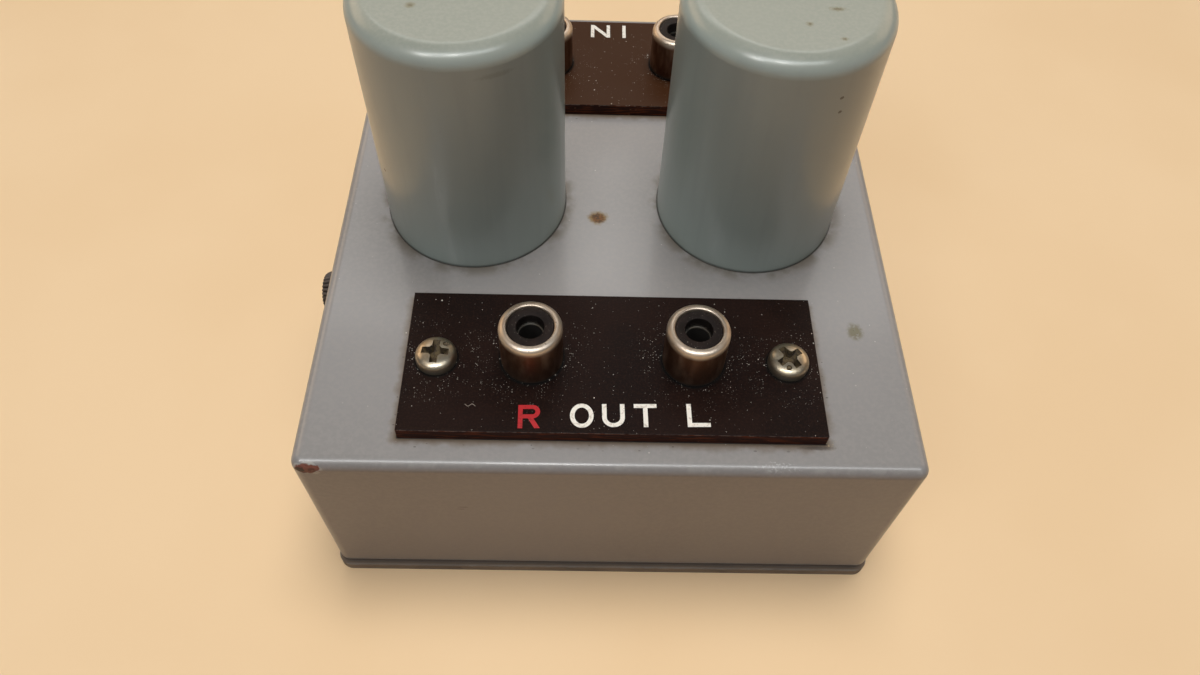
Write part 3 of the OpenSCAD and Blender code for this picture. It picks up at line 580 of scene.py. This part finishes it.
@finish(srgb(104, 90, 66), 0.6, 0.5)
def screw_dirt(skin):
    """Packed dirt in the recess of a screw."""
    skin.layer(skin.clouds(0.5, 4, 0.44, 0.62), srgb(62, 50, 36), 0.75, 0.1)
    skin.grain(0.3, 3, 12)


@finish(srgb(128, 114, 100), 0.45)
def cover_steel(skin):
    """Dull dark grey paint on the bottom cover, rubbed at its edges."""
    low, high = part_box("bottom_cover")
    skin.layer(skin.clouds(8, 4, 0.40, 0.66), srgb(112, 101, 90), 0.52)
    skin.grain(0.5, 3, 2.5)
    worn = skin.times(skin.edges(low, high, 0.35 * MM), skin.clouds(1.8, 5, 0.48, 0.62))
    skin.layer(worn, srgb(128, 124, 118), 0.4, share=0.6)
    seam = skin.ramp(skin.gap_to_rectangle(case_low, case_high), 0.30 * MM, 0.06 * MM)
    skin.layer(seam, srgb(98, 78, 58), 0.7, share=0.7)
    skin.layer(skin.specks(2.2, 0.25, 0.14), srgb(150, 142, 132), 0.8, share=0.6)


CAP_KNURLS = 28
CAP_TOOTH = 0.50 * MM
CAP_ROUND = (1.0 * MM, 3.4 * MM)
CAP_FACE_R = (cap_high.z - cap_low.z) / 2 - CAP_ROUND[0]


@finish(srgb(27, 25, 24), 0.36)
def cap_black(skin):
    """Black moulded phenolic, polished on the knurls by handling, darker between them, with a painted
    highlight on its upper side.
    """
    skin.layer(skin.clouds(1.6, 4, 0.42, 0.66), srgb(38, 34, 31), 0.46)
    offset = skin.vector("SUBTRACT", skin.place, (0, *cap_axis))
    around = skin.vector("MULTIPLY", offset, (0, 1, 1))
    angle = skin.math("ARCTAN2", skin.part(around, "y"), skin.part(around, "z"))
    wave = skin.math("ABSOLUTE", skin.math("SINE", skin.times(angle, CAP_KNURLS / 2)))
    ribbed = skin.ramp(skin.vector("LENGTH", around), CAP_FACE_R - CAP_TOOTH, CAP_FACE_R)
    # Painted highlight: a pale grey laid over the cap's upper side
    painted_top_highlight = skin.ramp(skin.part(around, "z"), 0.3 * CAP_FACE_R, CAP_FACE_R)
    skin.layer(painted_top_highlight, srgb(98, 88, 82), 0.6, share=0.6)
    skin.layer(skin.times(ribbed, skin.ramp(wave, 0.45, 0.1)), srgb(13, 11, 10), 0.7, share=0.3)
    skin.layer(skin.times(ribbed, skin.ramp(wave, 0.80, 1.0)), srgb(58, 53, 49), 0.28, share=0.2)
    skin.grain(0.3, 3, 1.5)
    skin.layer(skin.specks(0.9, 0.2, 0.08), srgb(140, 132, 122), 0.8, share=0.7)


@finish(srgb(62, 42, 30), 0.40)
def base_moulding(skin):
    """Brown moulded phenolic with a faint mottle."""
    skin.layer(skin.clouds(2.5, 5, 0.46, 0.60), srgb(84, 58, 40), 0.46)
    skin.layer(skin.specks(1.4, 0.3, 0.2), srgb(40, 28, 22), 0.5)
    skin.grain(0.4, 3, 2)


def striped(skin, axis, pitch, colour, rough, height):
    """Lays stripes of the given pitch across one axis."""
    wave = skin.math("SINE", skin.times(skin.part(skin.place, axis), 2 * math.pi / pitch))
    skin.layer(skin.ramp(wave, -0.2, 0.6), colour, rough, height=height)


@finish((0.26, 0.25, 0.23, 1), 0.42, 0.9)
def laminations(skin):
    """Thin stacked sheets of nickel-iron, seen on edge."""
    striped(skin, "y", 0.35 * MM, (0.15, 0.14, 0.125, 1), 0.55, -0.02 * MM)
    skin.layer(skin.clouds(2, 5, 0.56, 0.70), (0.16, 0.10, 0.06, 1), 0.7, 0.5)


@finish(srgb(214, 208, 188), 0.45)
def bobbin_plastic(skin):
    """Ivory moulded plastic, yellowed in patches."""
    skin.set(subsurface_weight=0.05, subsurface_scale=0.5 * MM)
    skin.layer(skin.clouds(4, 3, 0.42, 0.66), srgb(203, 193, 164), 0.5)
    skin.grain(0.5, 3, 3)


@finish((0.55, 0.20, 0.08, 1), 0.28, 1.0)
def copper_wire(skin):
    """Turns of enamelled copper wire, side by side."""
    skin.set(coat_weight=0.5, coat_roughness=0.12)
    striped(skin, "z", 0.24 * MM, (0.36, 0.11, 0.045, 1), 0.36, 0.05 * MM)
    skin.layer(skin.clouds(3, 4, 0.45, 0.65), (0.42, 0.15, 0.06, 1), 0.34, share=0.5)


@finish(srgb(124, 116, 106), 0.95)
def felt(skin):
    """Grey packing felt of short tangled fibres."""
    skin.set(sheen_weight=0.3, sheen_roughness=0.6)
    skin.layer(skin.clouds(0.35, 6, 0.42, 0.60), srgb(96, 89, 80), 1.0, height=0.06 * MM)
    skin.layer(skin.specks(0.9, 0.3, 0.12), srgb(150, 140, 126), 1.0)


def insulation(name, colour, shade):
    """Soft wire insulation, a little uneven in colour."""
    skin = Skin(name, colour, 0.42)
    skin.layer(skin.clouds(2.5, 4, 0.42, 0.66), shade, 0.5)
    skin.grain(0.4, 3, 3)
    skin.layer(skin.specks(1.2, 0.2, 0.1), srgb(120, 110, 98), 0.8, share=0.6)
    return skin.done()


def ink(name, colour, worn):
    """Filled lettering, a little patchy and dusty."""
    skin = Skin(name, colour, 0.55)
    skin.layer(skin.clouds(0.5, 4, 0.50, 0.68), worn, 0.65)
    skin.layer(skin.specks(0.7, 0.18, 0.08), srgb(70, 56, 48), 0.7, share=0.7)
    skin.grain(0.2, 3, 3)
    return skin.done()


# Metals: colour, colour and size in millimetres of the tarnish, roughness, and the height of a foot darkened
# by painted shade
METALS = {
    "tinned_brass": ((0.66, 0.63, 0.56, 1), (0.48, 0.45, 0.38, 1), 2.0, 0.34),
    "screw_nickel": ((0.56, 0.49, 0.38, 1), (0.38, 0.31, 0.22, 1), 1.2, 0.33, plate_z),
    "zinc_steel": ((0.56, 0.55, 0.52, 1), (0.40, 0.38, 0.34, 1), 2.2, 0.36),
    "brass": ((0.68, 0.50, 0.22, 1), (0.42, 0.29, 0.12, 1), 1.6, 0.28),
}
for name, look in METALS.items():
    finishes[name] = plated(name, *look)
for name, colour, shade in (
    ("lead_red", srgb(168, 40, 34), srgb(148, 32, 28)),
    ("lead_ivory", srgb(212, 202, 170), srgb(198, 184, 148)),
    ("lead_black", srgb(36, 35, 34), srgb(46, 44, 42)),
):
    finishes[name] = insulation(name, colour, shade)
for part in frame["record"]["subparts"]:
    mesh = frame["nodes"][part["node"]].data
    mesh.materials.clear()
    mesh.materials.append(finishes[part["material_slot"]])


# Shapes

SHARP_ANGLE = math.radians(32)
ON_AXIS = 1e-9


def new_object(name, builder, *looks):
    """A new object from a bmesh, which is freed; it is shaded smooth but for its sharp edges."""
    mesh = bpy.data.meshes.new(name)
    bmesh.ops.recalc_face_normals(builder, faces=builder.faces)
    builder.to_mesh(mesh)
    builder.free()
    mesh.shade_smooth()
    mesh.set_sharp_from_angle(angle=SHARP_ANGLE)
    for look in looks:
        mesh.materials.append(finishes[look])
    made = bpy.data.objects.new(name, mesh)
    scene.collection.objects.link(made)
    return made


def stand_for(node, piece, slot, body="root"):
    """Gives a piece its finish and body, and puts it in the place of a CAD node."""
    if not piece.data.materials:
        piece.data.materials.append(finishes[slot])
    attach(piece, body)
    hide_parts(node)


def arc(centre, radius, start, end, steps):
    """Points on a round stretch, from one angle to another in degrees; radius may be a pair."""
    across, along = radius if isinstance(radius, tuple) else (radius, radius)
    points = []
    for step in range(steps + 1):
        angle = math.radians(start + (end - start) * step / steps)
        points.append((centre[0] + across * math.cos(angle), centre[1] + along * math.sin(angle)))
    return points


def turn(builder, profile, place, steps, radius_at=None):
    """Turns a profile of (radius, height) points about the Z axis of a place; radius_at may vary a radius."""
    rings = []
    for radius, height in profile:
        ring = []
        for step in range(1 if radius < ON_AXIS else steps):
            angle = 2 * math.pi * step / steps
            out = radius_at(radius, height, angle) if radius_at else radius
            point = Vector((out * math.cos(angle), out * math.sin(angle), height))
            ring.append(builder.verts.new(place @ point))
        rings.append(ring)
    for ring, following in zip(rings, rings[1:] + rings[:1]):
        if len(ring) == 1 and len(following) == 1:
            continue
        for step in range(steps):
            after = (step + 1) % steps
            corners = [ring[step % len(ring)], ring[after % len(ring)]]
            corners += [following[after % len(following)], following[step % len(following)]]
            builder.faces.new(list(dict.fromkeys(corners)))


def turned(name, profile, place, steps=96, radius_at=None):
    """A new object that is a turned profile."""
    builder = bmesh.new()
    turn(builder, profile, place, steps, radius_at)
    return new_object(name, builder)


def slab(builder, loops, low, high, bevel=0.0):
    """A flat plate between two heights from an outline and its holes, with its upper edges eased."""
    edges = []
    for loop in loops:
        verts = [builder.verts.new((x, y, low)) for x, y in loop]
        edges += [builder.edges.new(pair) for pair in zip(verts, verts[1:] + verts[:1])]
    filled = bmesh.ops.triangle_fill(builder, use_beauty=True, use_dissolve=False, edges=edges)
    faces = [item for item in filled["geom"] if isinstance(item, bmesh.types.BMFace)]
    raised = bmesh.ops.extrude_face_region(builder, geom=faces, use_keep_orig=True)["geom"]
    top = [item for item in raised if isinstance(item, bmesh.types.BMFace)]
    verts = [item for item in raised if isinstance(item, bmesh.types.BMVert)]
    bmesh.ops.translate(builder, verts=verts, vec=(0, 0, high - low))
    if bevel:
        edges = {edge for face in top for edge in face.edges}
        rim = [edge for edge in edges if any(face not in top for face in edge.link_faces)]
        bmesh.ops.bevel(builder, geom=rim, offset=bevel, offset_type="OFFSET", segments=3, profile=0.5,
                        affect="EDGES")


def circle(centre, radius, steps):
    """Points all round a circle or an ellipse."""
    return arc(centre, radius, 0, 360 - 360 / steps, steps - 1)


def upright(node):
    """A place on a CAD node's upright axis, at the height of the base."""
    return Matrix.Translation((*middle(node).xy, 0))


# Jack plates

PLATE_CORNER = 0.12 * MM
PLATE_EASE = 0.10 * MM
JACK_HOLE_R = 3.65 * MM
SCREW_HOLE_R = 1.65 * MM


def rounded_outline(low, high, radius):
    """A rectangle with rounded corners."""
    left, right = low.x + radius, high.x - radius
    front, back = low.y + radius, high.y - radius
    points = []
    for quarter, centre in enumerate(((right, back), (left, back), (left, front), (right, front))):
        points += arc(centre, radius, 90 * quarter, 90 * quarter + 90, 5)
    return points


def jack_plate(node):
    """A sheet with eased edges and holes for its jacks and screws, and with evenly shaded faces."""
    low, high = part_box(node)
    loops = [rounded_outline(low, high, PLATE_CORNER)]
    for centres, radius, steps in ((jack_centres, JACK_HOLE_R, 64), (screw_centres, SCREW_HOLE_R, 40)):
        loops += [circle(centre, radius, steps) for centre in centres if low.y < centre.y < high.y]
    builder = bmesh.new()
    slab(builder, loops, low.z, high.z, PLATE_EASE)
    board = new_object(node + "_board", builder)
    board.modifiers.new("even_faces", "WEIGHTED_NORMAL").keep_sharp = True
    return board


for plate in ("out_plate", "in_plate"):
    stand_for(plate, jack_plate(plate), "phenolic_sheet")


# Phono jacks

SHELL_WALL = 0.5 * MM
SHELL_NECK_R = 3.6 * MM
SHELL_NECK_WALL = 0.45 * MM
SHELL_FLARE_T = 0.5 * MM
SHELL_LIP = 0.75 * MM
RIM_ROLL = 0.8 * MM
MOUTH_ROLL = 0.25 * MM
FOOT_ROLL = 0.2 * MM
MOUTH_R = 3.1 * MM


def jack_shell(node):
    """A drawn shell with a rolled rim, and a neck that is flared under the plate."""
    low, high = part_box(node)
    flare_r = (high.x - low.x) / 2
    profile = [(flare_r, low.z), (flare_r, low.z + SHELL_FLARE_T), (SHELL_NECK_R, low.z + SHELL_FLARE_T)]
    profile += [(SHELL_NECK_R, plate_z)]
    profile += arc((JACK_RADIUS - FOOT_ROLL, plate_z + FOOT_ROLL), FOOT_ROLL, -90, 0, 4)
    profile += arc((JACK_RADIUS - RIM_ROLL, high.z - RIM_ROLL), RIM_ROLL, 0, 90, 10)
    profile += arc((MOUTH_R + MOUTH_ROLL, high.z - MOUTH_ROLL), MOUTH_ROLL, 90, 180, 8)[1:]
    profile += [(MOUTH_R, high.z - SHELL_LIP), (JACK_RADIUS - SHELL_WALL, high.z - SHELL_LIP)]
    profile += [(JACK_RADIUS - SHELL_WALL, plate_z + SHELL_WALL)]
    neck_bore = SHELL_NECK_R - SHELL_NECK_WALL
    profile += [(neck_bore, plate_z + SHELL_WALL), (neck_bore, low.z)]
    return turned(node + "_drawn", profile, upright(node))


NOSE_R = 3.04 * MM
PIN_HOLE_R = 1.74 * MM
CONTACT_R = 2.0 * MM
CONTACT_DROP = 1.7 * MM
STEM_R = 3.1 * MM
NOSE_EASE = 0.14 * MM
FIT_GAP = 0.05 * MM

# How far the pin hole has opened out, and at what depth below the nose
PIN_MOUTH = ((0.0, 0.35 * MM), (0.10 * MM, 0.02 * MM), (0.14 * MM, 0.0))


def jack_insulator(node):
    """A moulded insulator with an eased nose and a pin hole that opens out a little at its mouth."""
    low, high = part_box(node)
    body_r = (high.x - low.x) / 2
    body_high = RIM_Z - SHELL_LIP - FIT_GAP
    body_low = plate_z + SHELL_WALL + FIT_GAP
    profile = [(PIN_HOLE_R + out, high.z - depth) for out, depth in PIN_MOUTH]
    profile += arc((NOSE_R - NOSE_EASE, high.z - NOSE_EASE), NOSE_EASE, 90, 0, 5)
    profile += [(NOSE_R, body_high), (body_r, body_high), (body_r, body_low), (STEM_R, body_low)]
    profile += [(STEM_R, low.z), (CONTACT_R, low.z), (CONTACT_R, high.z - CONTACT_DROP)]
    profile += [(PIN_HOLE_R, high.z - CONTACT_DROP)]
    return turned(node + "_moulded", profile, upright(node))


for jack in JACKS:
    shell = jack + "_shell"
    stand_for(shell, jack_shell(shell), "nickel_shell")
    insulator = jack + "_insulator"
    stand_for(insulator, jack_insulator(insulator), "black_moulding")


# Plate screws

SHANK_R = 1.5 * MM
SHANK_TIP = 0.3 * MM
HEAD_H = screws_high.z - plate_z
HEAD_WALL = 0.75 * MM
HEAD_FOOT = 0.12 * MM
HEAD_STEPS = 16
HEAD_SPREAD = 0.62
HEAD_DOME = 0.92
RECESS_ARM = 1.9 * MM
RECESS_WIDTH = 1.0 * MM
RECESS_DEPTH = 1.45 * MM
RECESS_TAPER = 0.52
RECESS_FLARE = 0.45
RECESS_ROOT = 0.30 * MM
DOT_R = 0.36 * MM
DOT_PLACE = 1.72 * MM
DOT_DEPTH = 0.16 * MM
DOT_Z = HEAD_WALL + 0.80 * (HEAD_H - HEAD_WALL)
CLEAR = 0.6 * MM
SCREW_TURNS = (-4, 215, 64, 131)


def screw_blank(place):
    """A pan head with a domed top on a plain shank."""
    shank_low = screws_low.z - plate_z
    profile = [(0, shank_low), (SHANK_R - SHANK_TIP, shank_low)]
    profile += [(SHANK_R, shank_low + SHANK_TIP), (SHANK_R, 0)]
    profile += arc((screw_head_r - HEAD_FOOT, HEAD_FOOT), HEAD_FOOT, -90, 0, 3)
    for step in range(HEAD_STEPS + 1):
        angle = math.radians(90 * step / HEAD_STEPS)
        radius = screw_head_r * math.cos(angle) ** HEAD_SPREAD
        profile.append((radius, HEAD_WALL + (HEAD_H - HEAD_WALL) * math.sin(angle) ** HEAD_DOME))
    profile[-1] = (0, HEAD_H)
    builder = bmesh.new()
    turn(builder, profile, place, 72)
    return builder


def cross_outline(arm, width):
    """A cross with eased inner corners, counted round from the +X arm."""
    half = width / 2
    points = []
    for quarter in range(4):
        cosine = math.cos(math.radians(90 * quarter))
        sine = math.sin(math.radians(90 * quarter))
        for x, y in ((arm, -half), (arm, half), (half + RECESS_ROOT, half), (half, half + RECESS_ROOT)):
            points.append((x * cosine - y * sine, x * sine + y * cosine))
    return points


def recess_cutter(place):
    """The cross recess, narrower at its bottom, and the small dot beside it."""
    builder = bmesh.new()
    rings = []
    for rise in (CLEAR, -RECESS_DEPTH):
        height = HEAD_H + rise
        share = 1 + rise / RECESS_DEPTH * RECESS_TAPER
        width = RECESS_WIDTH * (1 - RECESS_FLARE + RECESS_FLARE * share)
        outline = cross_outline(RECESS_ARM * share, width)
        rings.append([builder.verts.new(place @ Vector((x, y, height))) for x, y in outline])
    for ring in rings:
        builder.faces.new(ring)
    count = len(rings[0])
    for step in range(count):
        after = (step + 1) % count
        builder.faces.new((rings[0][step], rings[0][after], rings[1][after], rings[1][step]))
    dot = place @ Matrix.Rotation(math.radians(45), 4, "Z") @ Matrix.Translation((DOT_PLACE, 0, DOT_Z))
    turn(builder, arc((0, 0), (DOT_R, DOT_DEPTH), -90, 0, 5) + [(DOT_R, CLEAR), (0, CLEAR)], dot, 24)
    return builder


def cut(blank, cutter):
    """Cuts one object out of another, and takes the cutter away."""
    difference = blank.modifiers.new("recess", "BOOLEAN")
    difference.operation = "DIFFERENCE"
    difference.solver = "EXACT"
    difference.material_mode = "TRANSFER"
    difference.object = cutter
    bpy.context.view_layer.update()
    result = bpy.data.meshes.new_from_object(blank.evaluated_get(bpy.context.evaluated_depsgraph_get()))
    bpy.data.objects.remove(cutter)
    return result


def plate_screws():
    """Four cross-recess screws, each turned as it was left when tightened."""
    looks = ("screw_nickel", "screw_dirt")
    joined = bmesh.new()
    for centre, angle in zip(screw_centres, SCREW_TURNS):
        place = Matrix.Translation(centre) @ Matrix.Rotation(math.radians(angle), 4, "Z")
        blank = new_object("screw_blank", screw_blank(place), *looks)
        result = cut(blank, new_object("screw_cutter", recess_cutter(place), looks[1]))
        joined.from_mesh(result)
        bpy.data.objects.remove(blank)
        bpy.data.meshes.remove(result)
    return new_object("plate_screws_cut", joined, *looks)


stand_for("plate_screws", plate_screws(), "screw_nickel")


# Earth terminal, each piece turned about an axis that points out of the left wall

terminal = Matrix.Translation((case_low.x, *cap_axis)) @ Matrix.Rotation(math.radians(-90), 4, "Y")
STUD_R = 1.5 * MM
THREAD_PITCH = 0.5 * MM
THREAD_DEPTH = 0.27 * MM
THREAD_STEPS = 8
THREAD_FORM = 1.2
THREAD_END = 0.2 * MM
COLLAR_W = 0.8 * MM
COLLAR_EASE = 0.2 * MM
CAP_BORE_R = 1.55 * MM
CAP_BEVEL = 0.5 * MM
CAP_DISH = 0.15 * MM
CAP_DISH_R = 1.8 * MM
CAP_END = 0.8 * MM
CAP_BORE_EASE = 0.25 * MM
KNURL_FORM = 1.3
KNURL_STEPS = 8


def terminal_stud():
    """A threaded brass stud with a collar that rests on the wall."""
    inner = case_low.x - stud_high.x
    outer = case_low.x - stud_low.x
    collar_r = (stud_high.z - stud_low.z) / 2

    def thread(radius, height, angle):
        if radius != STUD_R:
            return radius
        phase = (height / THREAD_PITCH - angle / (2 * math.pi)) % 1
        return radius - THREAD_DEPTH * (1 - abs(2 * phase - 1)) ** THREAD_FORM

    def run(start, end):
        count = max(2, round((end - start) / THREAD_PITCH * THREAD_STEPS))
        return [(STUD_R, start + (end - start) * step / count) for step in range(count + 1)]

    tip_r = STUD_R - THREAD_DEPTH
    profile = [(0, inner), (tip_r, inner)] + run(inner + THREAD_END, 0)
    profile += [(collar_r, 0)]
    profile += arc((collar_r - COLLAR_EASE, COLLAR_W - COLLAR_EASE), COLLAR_EASE, 0, 90, 4)
    profile += run(COLLAR_W, outer - THREAD_END) + [(tip_r, outer), (0, outer)]
    return turned("terminal_stud_threaded", profile, terminal, 64, thread)


def terminal_cap():
    """A knurled cap that rounds off to a closed end, which is dished a little in its middle."""
    inner = case_low.x - cap_high.x
    outer = case_low.x - cap_low.x
    rim = (cap_high.z - cap_low.z) / 2

    def knurl(radius, height, angle):
        if radius < CAP_FACE_R - CAP_TOOTH:
            return radius
        wave = abs(math.sin(CAP_KNURLS * angle / 2))
        past_bevel = min(1, max(0, (height - inner) / CAP_BEVEL))
        return radius - CAP_TOOTH * (1 - wave) ** KNURL_FORM * past_bevel

    profile = [(0, outer - CAP_END), (CAP_BORE_R, outer - CAP_END), (CAP_BORE_R, inner + CAP_BORE_EASE)]
    profile += [(CAP_BORE_R + CAP_BORE_EASE, inner)]
    profile += arc((rim - CAP_BEVEL, inner + CAP_BEVEL), CAP_BEVEL, -90, 0, 6)
    profile += arc((CAP_FACE_R, outer - CAP_ROUND[1]), CAP_ROUND, 0, 90, 16)
    profile += [(CAP_DISH_R, outer), (CAP_DISH_R - CAP_DISH, outer - CAP_DISH), (0, outer - CAP_DISH)]
    return turned("terminal_cap_knurled", profile, terminal, CAP_KNURLS * KNURL_STEPS, knurl)


stand_for("terminal_stud", terminal_stud(), "brass")
stand_for("terminal_cap", terminal_cap(), "cap_black", "terminal_cap")


# Lettering on the jack plates: the channel over each jack and the plate's own word between them

LETTER_H = 3.4 * MM
STROKE = 0.59 * MM
INK_T = 0.03 * MM
ROW_IN = 2.65 * MM
DIAGONAL = 0.95 * MM
WAIST = 0.42 * LETTER_H
LEG_W = 1.18 * STROKE
LEG_REACH = 0.85 * MM
LEG_STEP = 0.02 * MM
ROUND_RISE = 0.08 * MM
ROUND_STEPS = 48
OUT_TILT = 1.2
RED_DROP = 0.12 * MM


# Each letter is an outline, and maybe its hole, from its lower left corner and of the given width
def letter_l(width):
    return [[(0, 0), (width, 0), (width, STROKE), (STROKE, STROKE), (STROKE, LETTER_H), (0, LETTER_H)]]


def letter_t(width):
    left = (width - STROKE) / 2
    right = left + STROKE
    bar = LETTER_H - STROKE
    return [[(left, 0), (right, 0), (right, bar), (width, bar),
             (width, LETTER_H), (0, LETTER_H), (0, bar), (left, bar)]]


def letter_i(width):
    left = (width - STROKE) / 2
    return [[(left, 0), (left + STROKE, 0), (left + STROKE, LETTER_H), (left, LETTER_H)]]


def letter_n(width):
    inner = width - STROKE
    return [[(0, 0), (STROKE, 0), (STROKE, LETTER_H - DIAGONAL), (inner, 0), (width, 0), (width, LETTER_H),
             (inner, LETTER_H), (inner, DIAGONAL), (STROKE, LETTER_H), (0, LETTER_H)]]


def letter_u(width):
    half = width / 2
    outer = arc((half, WAIST), (half, WAIST), 180, 360, 20)
    inner = arc((half, WAIST), (half - STROKE, WAIST - STROKE), 360, 180, 20)
    right_end = [(width, LETTER_H), (width - STROKE, LETTER_H)]
    return [outer + right_end + inner + [(STROKE, LETTER_H), (0, LETTER_H)]]


def letter_o(width):
    centre = (width / 2, LETTER_H / 2)
    outer = (width / 2, LETTER_H / 2 + ROUND_RISE)
    inner = (outer[0] - STROKE, outer[1] - STROKE)
    return [circle(centre, radii, ROUND_STEPS) for radii in (outer, inner)]


def letter_r(width):
    bowl = (LETTER_H - WAIST) / 2
    centre = (width - bowl, LETTER_H - bowl)
    leg = width - LEG_W
    outline = [(0, 0), (STROKE, 0), (STROKE, WAIST), (leg - LEG_REACH, WAIST), (leg, 0), (width, 0)]
    outline += [(width - LEG_REACH, WAIST + LEG_STEP)] + arc(centre, bowl, -90, 90, 16)[1:] + [(0, LETTER_H)]
    hole = arc(centre, bowl - STROKE, -90, 90, 14)
    return [outline, [(STROKE, WAIST + STROKE)] + hole + [(STROKE, LETTER_H - STROKE)]]


def lettering(name, look, row, letters):
    """Thin filled letters along a row, which is a place in plan."""
    builder = bmesh.new()
    for outline, left, right in letters:
        loops = []
        for loop in outline((right - left) * MM):
            points = [row @ Vector((left * MM + x, y - LETTER_H / 2, 0)) for x, y in loop]
            loops.append([(point.x, point.y) for point in points])
        slab(builder, loops, plate_z - INK_T / 2, plate_z + INK_T / 2)
    return new_object(name, builder, look)


finishes["white_ink"] = ink("white_ink", srgb(234, 228, 218), srgb(200, 189, 176))
finishes["red_ink"] = ink("red_ink", srgb(174, 30, 36), srgb(140, 26, 30))
out_row = Matrix.Translation((0, out_low.y + ROW_IN, 0)) @ Matrix.Rotation(math.radians(OUT_TILT), 4, "Z")
out_red_row = Matrix.Translation((0, -RED_DROP, 0)) @ out_row
in_row = Matrix.Translation((0, in_high.y - ROW_IN, 0)) @ Matrix.Rotation(math.radians(180), 4, "Z")

# Each piece of lettering: its ink, its row, and its letters with their two ends along it in millimetres
LETTERING = {
    "out_lettering": ("white_ink", out_row, [(letter_o, -5.54, -2.50), (letter_u, -1.40, 1.52),
                                             (letter_t, 2.72, 5.68), (letter_l, 9.56, 12.52)]),
    "out_right_mark": ("red_ink", out_red_row, [(letter_r, -12.2, -9.38)]),
    "in_lettering": ("white_ink", in_row, [(letter_i, -2.84, -1.77), (letter_n, 0.18, 3.55),
                                           (letter_l, -12.58, -9.56)]),
    "in_right_mark": ("red_ink", in_row, [(letter_r, 9.38, 12.2)]),
}
for name, (look, row, letters) in LETTERING.items():
    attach(lettering(name, look, row, letters), "root")


# Floor

FLOOR_HALF = 3.0


@finish(srgb(241, 209, 167), 0.85)
def floor_paper(skin):
    """Matte warm paper with a faint tooth, a deeper tone in the light that it throws back on the object."""
    skin.layer(skin.clouds(60, 3, 0.35, 0.7), srgb(238, 205, 162), 0.9)
    skin.grain(0.8, 3, 8)
    rays = skin.node("LightPath").outputs
    seen = skin.math("MAXIMUM", rays["Is Camera Ray"], rays["Is Glossy Ray"])
    skin.layer(skin.math("SUBTRACT", 1.0, seen), srgb(142, 90, 45))


builder = bmesh.new()
corners = [(x * FLOOR_HALF, y * FLOOR_HALF) for x, y in ((-1, -1), (1, -1), (1, 1), (-1, 1))]
builder.faces.new([builder.verts.new((*corner, cad_box[0].z)) for corner in corners])
new_object("floor", builder, "floor_paper")


# Light

WORLD_LEVEL = 0.10
LAMP_DISTANCE = 0.95
WARM_LIGHT = (1.0, 0.98, 0.95)
COOL_LIGHT = (0.92, 0.97, 1.0)
ROOM_LIGHT = (1.0, 0.72, 0.46)

# Lamps that gloss doesn't show: direction, width and depth in metres, level of a white face, colour
LAMPS = {
    "key_panel": ((0.03, 0.06, 0.99), (0.45, 0.45), 0.85, WARM_LIGHT),
    "fill_panel": ((-0.42, -0.55, 0.72), (0.45, 0.30), 0.13, COOL_LIGHT),
}

# Panels that only gloss shows: direction, width and depth in metres, brightness with 1 as white, colour
GLOSS_PANELS = {
    "ceiling_panel": ((0.05, -0.46, 0.88), (0.95, 0.20), 8.0, COOL_LIGHT),
    "left_lamp": ((-0.40, -0.52, 0.75), (0.12, 0.14), 34.0, WARM_LIGHT),
    "middle_lamp": ((-0.04, -0.52, 0.85), (0.12, 0.14), 26.0, WARM_LIGHT),
    "far_ceiling": ((0.0, 0.62, 0.78), (0.75, 0.20), 3.2, WARM_LIGHT),
    "back_wall": ((0.0, 0.80, 0.60), (1.2, 0.26), 0.9, ROOM_LIGHT),
    "left_wall": ((-0.72, 0.50, 0.46), (0.6, 0.40), 2.3, ROOM_LIGHT),
    "right_wall": ((0.72, 0.50, 0.46), (0.6, 0.40), 1.5, ROOM_LIGHT),
}


def panel(name, direction, size, colour):
    """A lamp of the given width and depth that faces the object from a direction."""
    lamp = bpy.data.lights.new(name, "AREA")
    lamp.shape = "RECTANGLE"
    lamp.size, lamp.size_y = size
    lamp.color = colour
    away = Vector(direction).normalized()
    placed = bpy.data.objects.new(name, lamp)
    placed.location = away * LAMP_DISTANCE
    placed.rotation_euler = away.to_track_quat("Z", "Y").to_euler()
    placed.visible_camera = False
    scene.collection.objects.link(placed)
    return placed


world = bpy.data.worlds.new("studio")
world.use_nodes = True
background = world.node_tree.nodes["Background"]
background.inputs["Color"].default_value = (*WARM_LIGHT, 1)
background.inputs["Strength"].default_value = WORLD_LEVEL
scene.world = world
for name, (direction, size, level, colour) in LAMPS.items():
    lamp = panel(name, direction, size, colour)
    lamp.data.energy = level * math.pi ** 2 * LAMP_DISTANCE ** 2
    lamp.visible_glossy = False
for name, (direction, size, brightness, colour) in GLOSS_PANELS.items():
    shown = panel(name, direction, size, colour)
    shown.data.energy = brightness * math.pi * size[0] * size[1]
    shown.visible_diffuse = False


# Camera, at the photograph's viewing angle

IMAGE_WIDTH = 1200
FOCAL_PIXELS = 905.04
SENSOR = 36.0
CAMERA_PLACE = Vector((-4.254, -96.571, 138.712)) * MM
YAW = math.radians(-2.082)
PITCH = math.radians(55.555)
ROLL = math.radians(2.773)

lens = bpy.data.cameras.new("camera")
lens.sensor_width = SENSOR
lens.lens = SENSOR * FOCAL_PIXELS / IMAGE_WIDTH
lens.clip_start = 5 * MM
camera = bpy.data.objects.new("camera", lens)
aim = Matrix.Rotation(YAW, 4, "Z") @ Matrix.Rotation(math.pi / 2 - PITCH, 4, "X")
camera.matrix_world = Matrix.Translation(CAMERA_PLACE) @ aim @ Matrix.Rotation(ROLL, 4, "Z")
scene.collection.objects.link(camera)
scene.camera = camera
